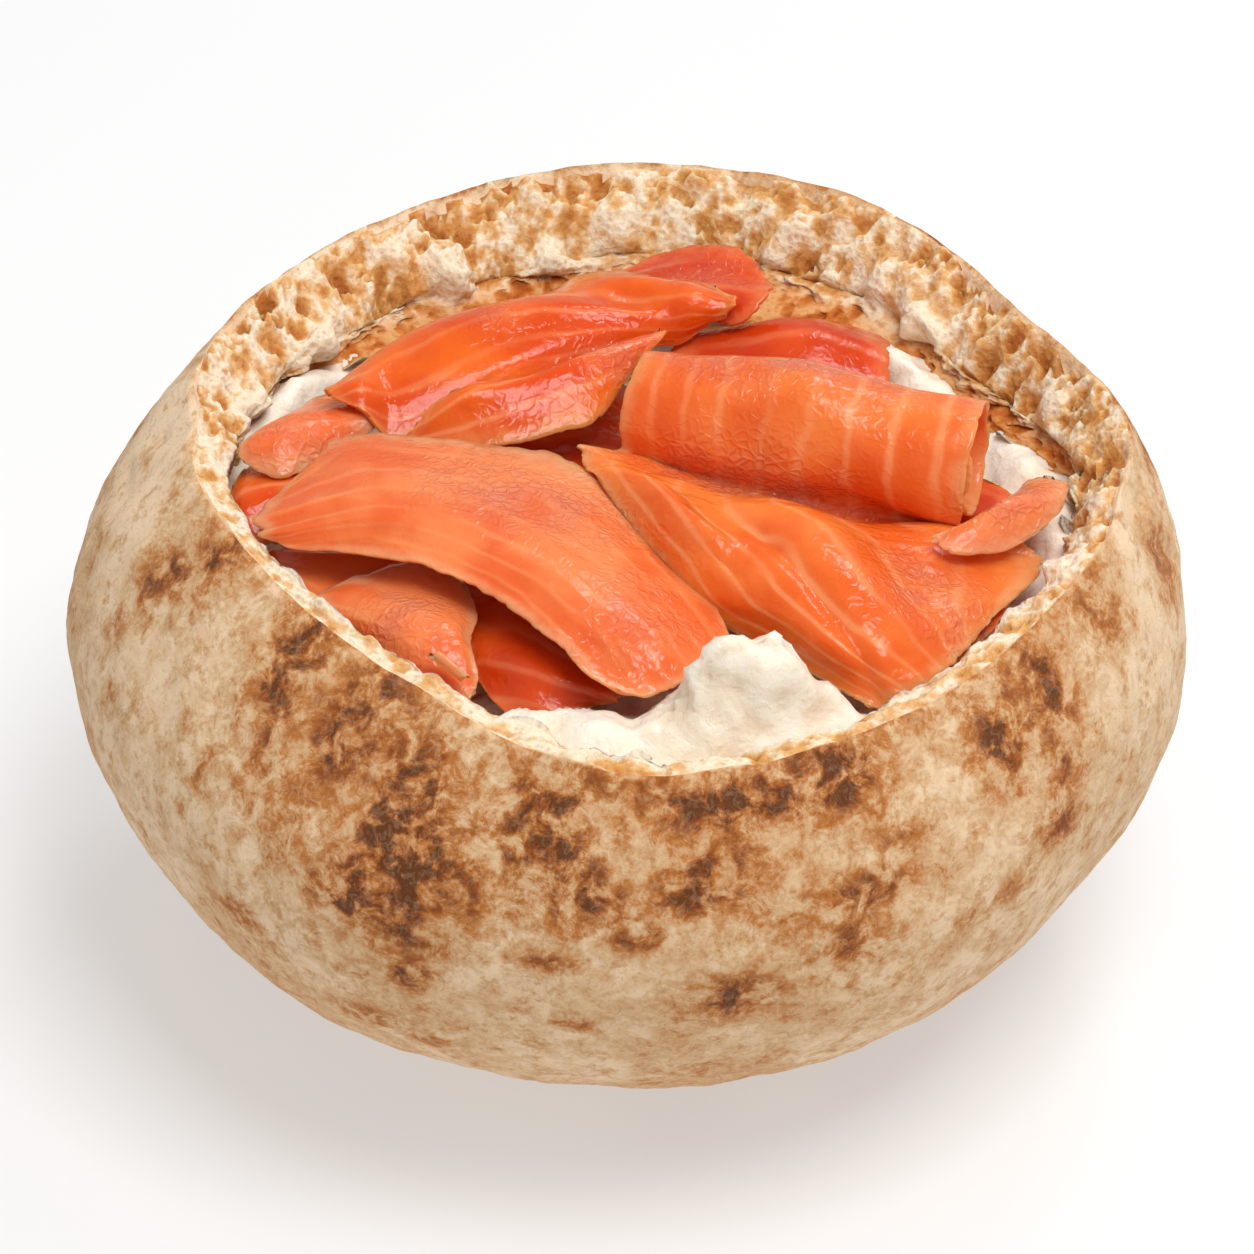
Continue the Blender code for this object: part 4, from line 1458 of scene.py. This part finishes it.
def keep_grain(body, phase, beside):
    """Gives each corner its place across and along the fat lines, as a UV map."""
    place = body.verts.layers.int["place"]
    grain_of = body.loops.layers.uv.new("grain")
    for face in body.faces:
        for loop in face.loops:
            index = loop.vert[place]
            loop[grain_of].uv = phase[index], beside[index]


def fine_slice(name, grain, seed, raggedness, wet):
    """The body of a slice: torn, wrinkled, thin at its edges, with its grain as a UV map."""
    cage = cages[name]
    lines_u, lines_v, bend, shift = grain
    wide = max(length_of(cage[:, k]) for k in range(cage.shape[1]))
    deep = max(length_of(cage[k]) for k in range(cage.shape[0]))
    count, rows = (round(size / FINE_STEP) + 1 for size in (wide, deep))
    spare = LONG_SPARE.get(name, (SPARE,) * 4)
    u, v = trimmed_places(wide, deep, count, rows, seed, raggedness, spare)
    points, ups = slice_points(name, u, v, (wide, deep), seed, wet)
    off_edge = off_edges(count, rows, wide / count, deep / rows)
    body = grid_body(points)
    phase = lines_u * u + lines_v * v + bend * (u - 0.5) ** 2 + shift
    beside = (v * deep if lines_u > lines_v else u * wide) / 10
    keep_grain(body, phase.ravel(), beside.ravel())
    place = body.verts.layers.int["place"]
    kept = {"thin": 1 - smooth_step(off_edge / FINE_TAPER), "film_and_painted_sheen": film_at(points)}
    for attribute, values in kept.items():
        layer = body.verts.layers.float.new(attribute)
        for vert in body.verts:
            vert[layer] = values.flat[vert[place]]
    thick = thickness(off_edge, FINE_TAPER, FINE_EDGE).ravel()
    thicken(body, ups.reshape(-1, 3), thick)
    face_outwards(body)
    return body


# %% [markdown]
# ## Salmon material
#
# Salmon is a clear orange flesh with white sheets of fat between its flakes, which a
# slice cuts into curved lines. The light goes in deep and comes out redder, so the
# shader has subsurface scattering with a long red reach. The wet skin is a coat over
# it, and fine crackled bumps break its highlights up. The lines follow the grain UV
# map, so they bend with each fold.

# %% Salmon material
LINE_HALF_WIDTH = 0.16
CRACK_SIZE = 1.4
WARP_LENGTH = 3
WARP = 2.2
FAT = shade(252, 172, 118)
# painted sheen: the paler pink that wet, glossy zones show
PAINTED_SHEEN_COLOUR = shade(230, 128, 104)


def vector_maths(tree, operation, inputs):
    """One sum of two vectors, or of a vector and a number."""
    return add_node(tree, "ShaderNodeVectorMath", inputs, operation=operation).outputs[0]


def warped(tree, place):
    """The place, pushed a little in a direction that changes from place to place."""
    inputs = {"Vector": place, "Scale": 1 / (WARP_LENGTH * MM), "Detail": 2.0}
    made = add_node(tree, "ShaderNodeTexNoise", inputs)
    push = vector_maths(tree, "SUBTRACT", {0: made.outputs["Color"], 1: (0.5, 0.5, 0.5)})
    push = vector_maths(tree, "SCALE", {0: push, "Scale": WARP * MM})
    return vector_maths(tree, "ADD", {0: place, 1: push})


def salmon_material(name, flesh, bright, tip, fat_share, crackled):
    """Wet, translucent flesh: its deep, its bright and its thin-edge colour, its fat and crackle."""
    material, tree, shader = new_material(name)
    place = object_place(tree)
    grain = add_node(tree, "ShaderNodeUVMap", uv_map="grain").outputs["UV"]
    parts = add_node(tree, "ShaderNodeSeparateXYZ", {"Vector": grain})
    waver = remap(tree, noise_at(tree, place, 12, 2, 0.5), 0.3, 0.7, -0.16, 0.16)
    phase = maths(tree, "ADD", parts.outputs["X"], waver)
    from_line = maths(tree, "PINGPONG", phase, 0.5)
    line = remap(tree, from_line, LINE_HALF_WIDTH, 0.0)
    halo = remap(tree, from_line, 0.3, 0.0, 0.0, 0.25)
    seen = remap(tree, noise_at(tree, place, 12, 2), 0.36, 0.62, 0.35, 1.0)
    fat = maths(tree, "MULTIPLY", maths(tree, "ADD", line, halo, clamp=True), seen)
    patches = remap(tree, noise_at(tree, place, 14, 3, 0.5), 0.38, 0.64)
    colour = mix_colour(tree, patches, flesh, bright)
    colour = mix_colour(tree, maths(tree, "MULTIPLY", fat, fat_share), colour, FAT)
    spread = remap(tree, noise_at(tree, place, 5, 3), 0.34, 0.6, 0.35, 1.3)
    film_and_painted_sheen = maths(tree, "MULTIPLY", attribute_of(tree, "film_and_painted_sheen"), spread, clamp=True)
    # painted sheen: the wet zones are painted paler pink, besides their coat and crackle
    colour = mix_colour(tree, maths(tree, "MULTIPLY", film_and_painted_sheen, 0.5), colour, PAINTED_SHEEN_COLOUR)
    uneven = remap(tree, noise_at(tree, place, 3, 3), 0.3, 0.7, 0.55, 1.15)
    edge = maths(tree, "MULTIPLY", attribute_of(tree, "thin"), uneven)
    colour = mix_colour(tree, remap(tree, edge, 0.1, 1.0, 0.0, 0.6), colour, tip)
    cells = {"Vector": warped(tree, place), "Scale": 1 / (CRACK_SIZE * MM)}
    crackle = add_node(tree, "ShaderNodeTexVoronoi", cells, feature="DISTANCE_TO_EDGE")
    where = maths(tree, "ADD", film_and_painted_sheen, 0.06)
    cracks = maths(tree, "MULTIPLY", remap(tree, crackle.outputs["Distance"], 0.26, 0.0), where)
    relief = bump(tree, noise_at(tree, place, 0.9, 3, 0.5, 0.8), 0.05, 0.5)
    relief = bump(tree, cracks, 0.65, 0.7, relief)
    relief = bump(tree, noise_at(tree, place, 3.2, 2, 0.4, 1.2), 0.2 * crackled, 0.5, relief)
    wet = remap(tree, noise_at(tree, place, 6, 2), 0.35, 0.7, 0.11, 0.26)
    set_inputs(tree, shader, {
        "Base Color": colour, "Roughness": wet, "Normal": relief,
        "Specular IOR Level": 0.24, "Subsurface Weight": 0.7,
        "Subsurface Scale": 0.005, "Subsurface Radius": (1.0, 0.34, 0.12),
        "Coat Weight": remap(tree, film_and_painted_sheen, 0.0, 1.0, 0.1, 0.6),
        "Coat Roughness": 0.06, "Coat IOR": 1.4,
    })
    return material


# %% The salmon
FLESH = {
    "orange": (shade(216, 76, 12), shade(234, 104, 22), shade(246, 144, 84), 0.35, 0.7),
    "pink": (shade(230, 102, 46), shade(245, 134, 76), shade(250, 164, 122), 0.25, 1.3),
    # deep: a darker copy for slices low in the pile and at the back, partly their own darker red and partly
    # painted shade
    "deep": (shade(196, 56, 12), shade(216, 78, 20), shade(240, 122, 70), 0.2, 1.0),
    "sheet": (shade(230, 98, 30), shade(246, 128, 56), shade(250, 156, 104), 0.45, 1.0),
}

# Grain (lines across, lines along, bend, shift), raggedness, wetness and flesh of each slice
FISH = {
    "salmon_base_front": ((0, 4, 1, 0.2), 1, 0.8, "pink"),
    "salmon_base_right": ((0, 5, 1, 0.4), 1, 0.8, "deep"),
    "salmon_base_middle": ((0, 4, 1, 0.1), 1, 0.8, "deep"),
    "salmon_front_inner": ((0, 4, 2, 0.6), 1, 0.8, "deep"),
    "salmon_front_outer": ((3, 2, 1, 0.3), 1, 0.9, "pink"),
    "salmon_scrap": ((0, 2, 0, 0.5), 1.4, 0.8, "pink"),
    "salmon_left_outer": ((0, 3, 1, 0.2), 1, 0.8, "orange"),
    "salmon_left_inner": ((0, 3, 1, 0.7), 1, 0.8, "pink"),
    "salmon_back_right": ((0, 4, 1, 0.1), 1, 0.8, "deep"),
    "salmon_back_top": ((0, 3, 1, 0.4), 1.2, 1.1, "deep"),
    "salmon_back_left": ((0, 5, 2.5, 0.15), 0.8, 0.7, "orange"),
    "salmon_front_left": ((0, 6, 3, 0.35), 1, 1.2, "pink"),
    "salmon_rolled": ((8, 0.5, 0, 0.1), 1, 1.0, "sheet"),
    "salmon_pleat": ((0, 3, 1.5, 0.2), 0.8, 0.8, "orange"),
    "salmon_right_tip": ((0, 3, 1, 0.5), 1.2, 0.9, "pink"),
}


FIRST_SEED = 2.3
SEED_STEP = 1.7


def make_salmon():
    """Every slice, from its cage."""
    made = {name: salmon_material("salmon_" + name, *look) for name, look in FLESH.items()}
    for number, (name, (grain, raggedness, wet, flesh)) in enumerate(FISH.items()):
        body = fine_slice(name, grain, FIRST_SEED + SEED_STEP * number, raggedness, wet)
        finished(name, body, [made[flesh]])


make_salmon()
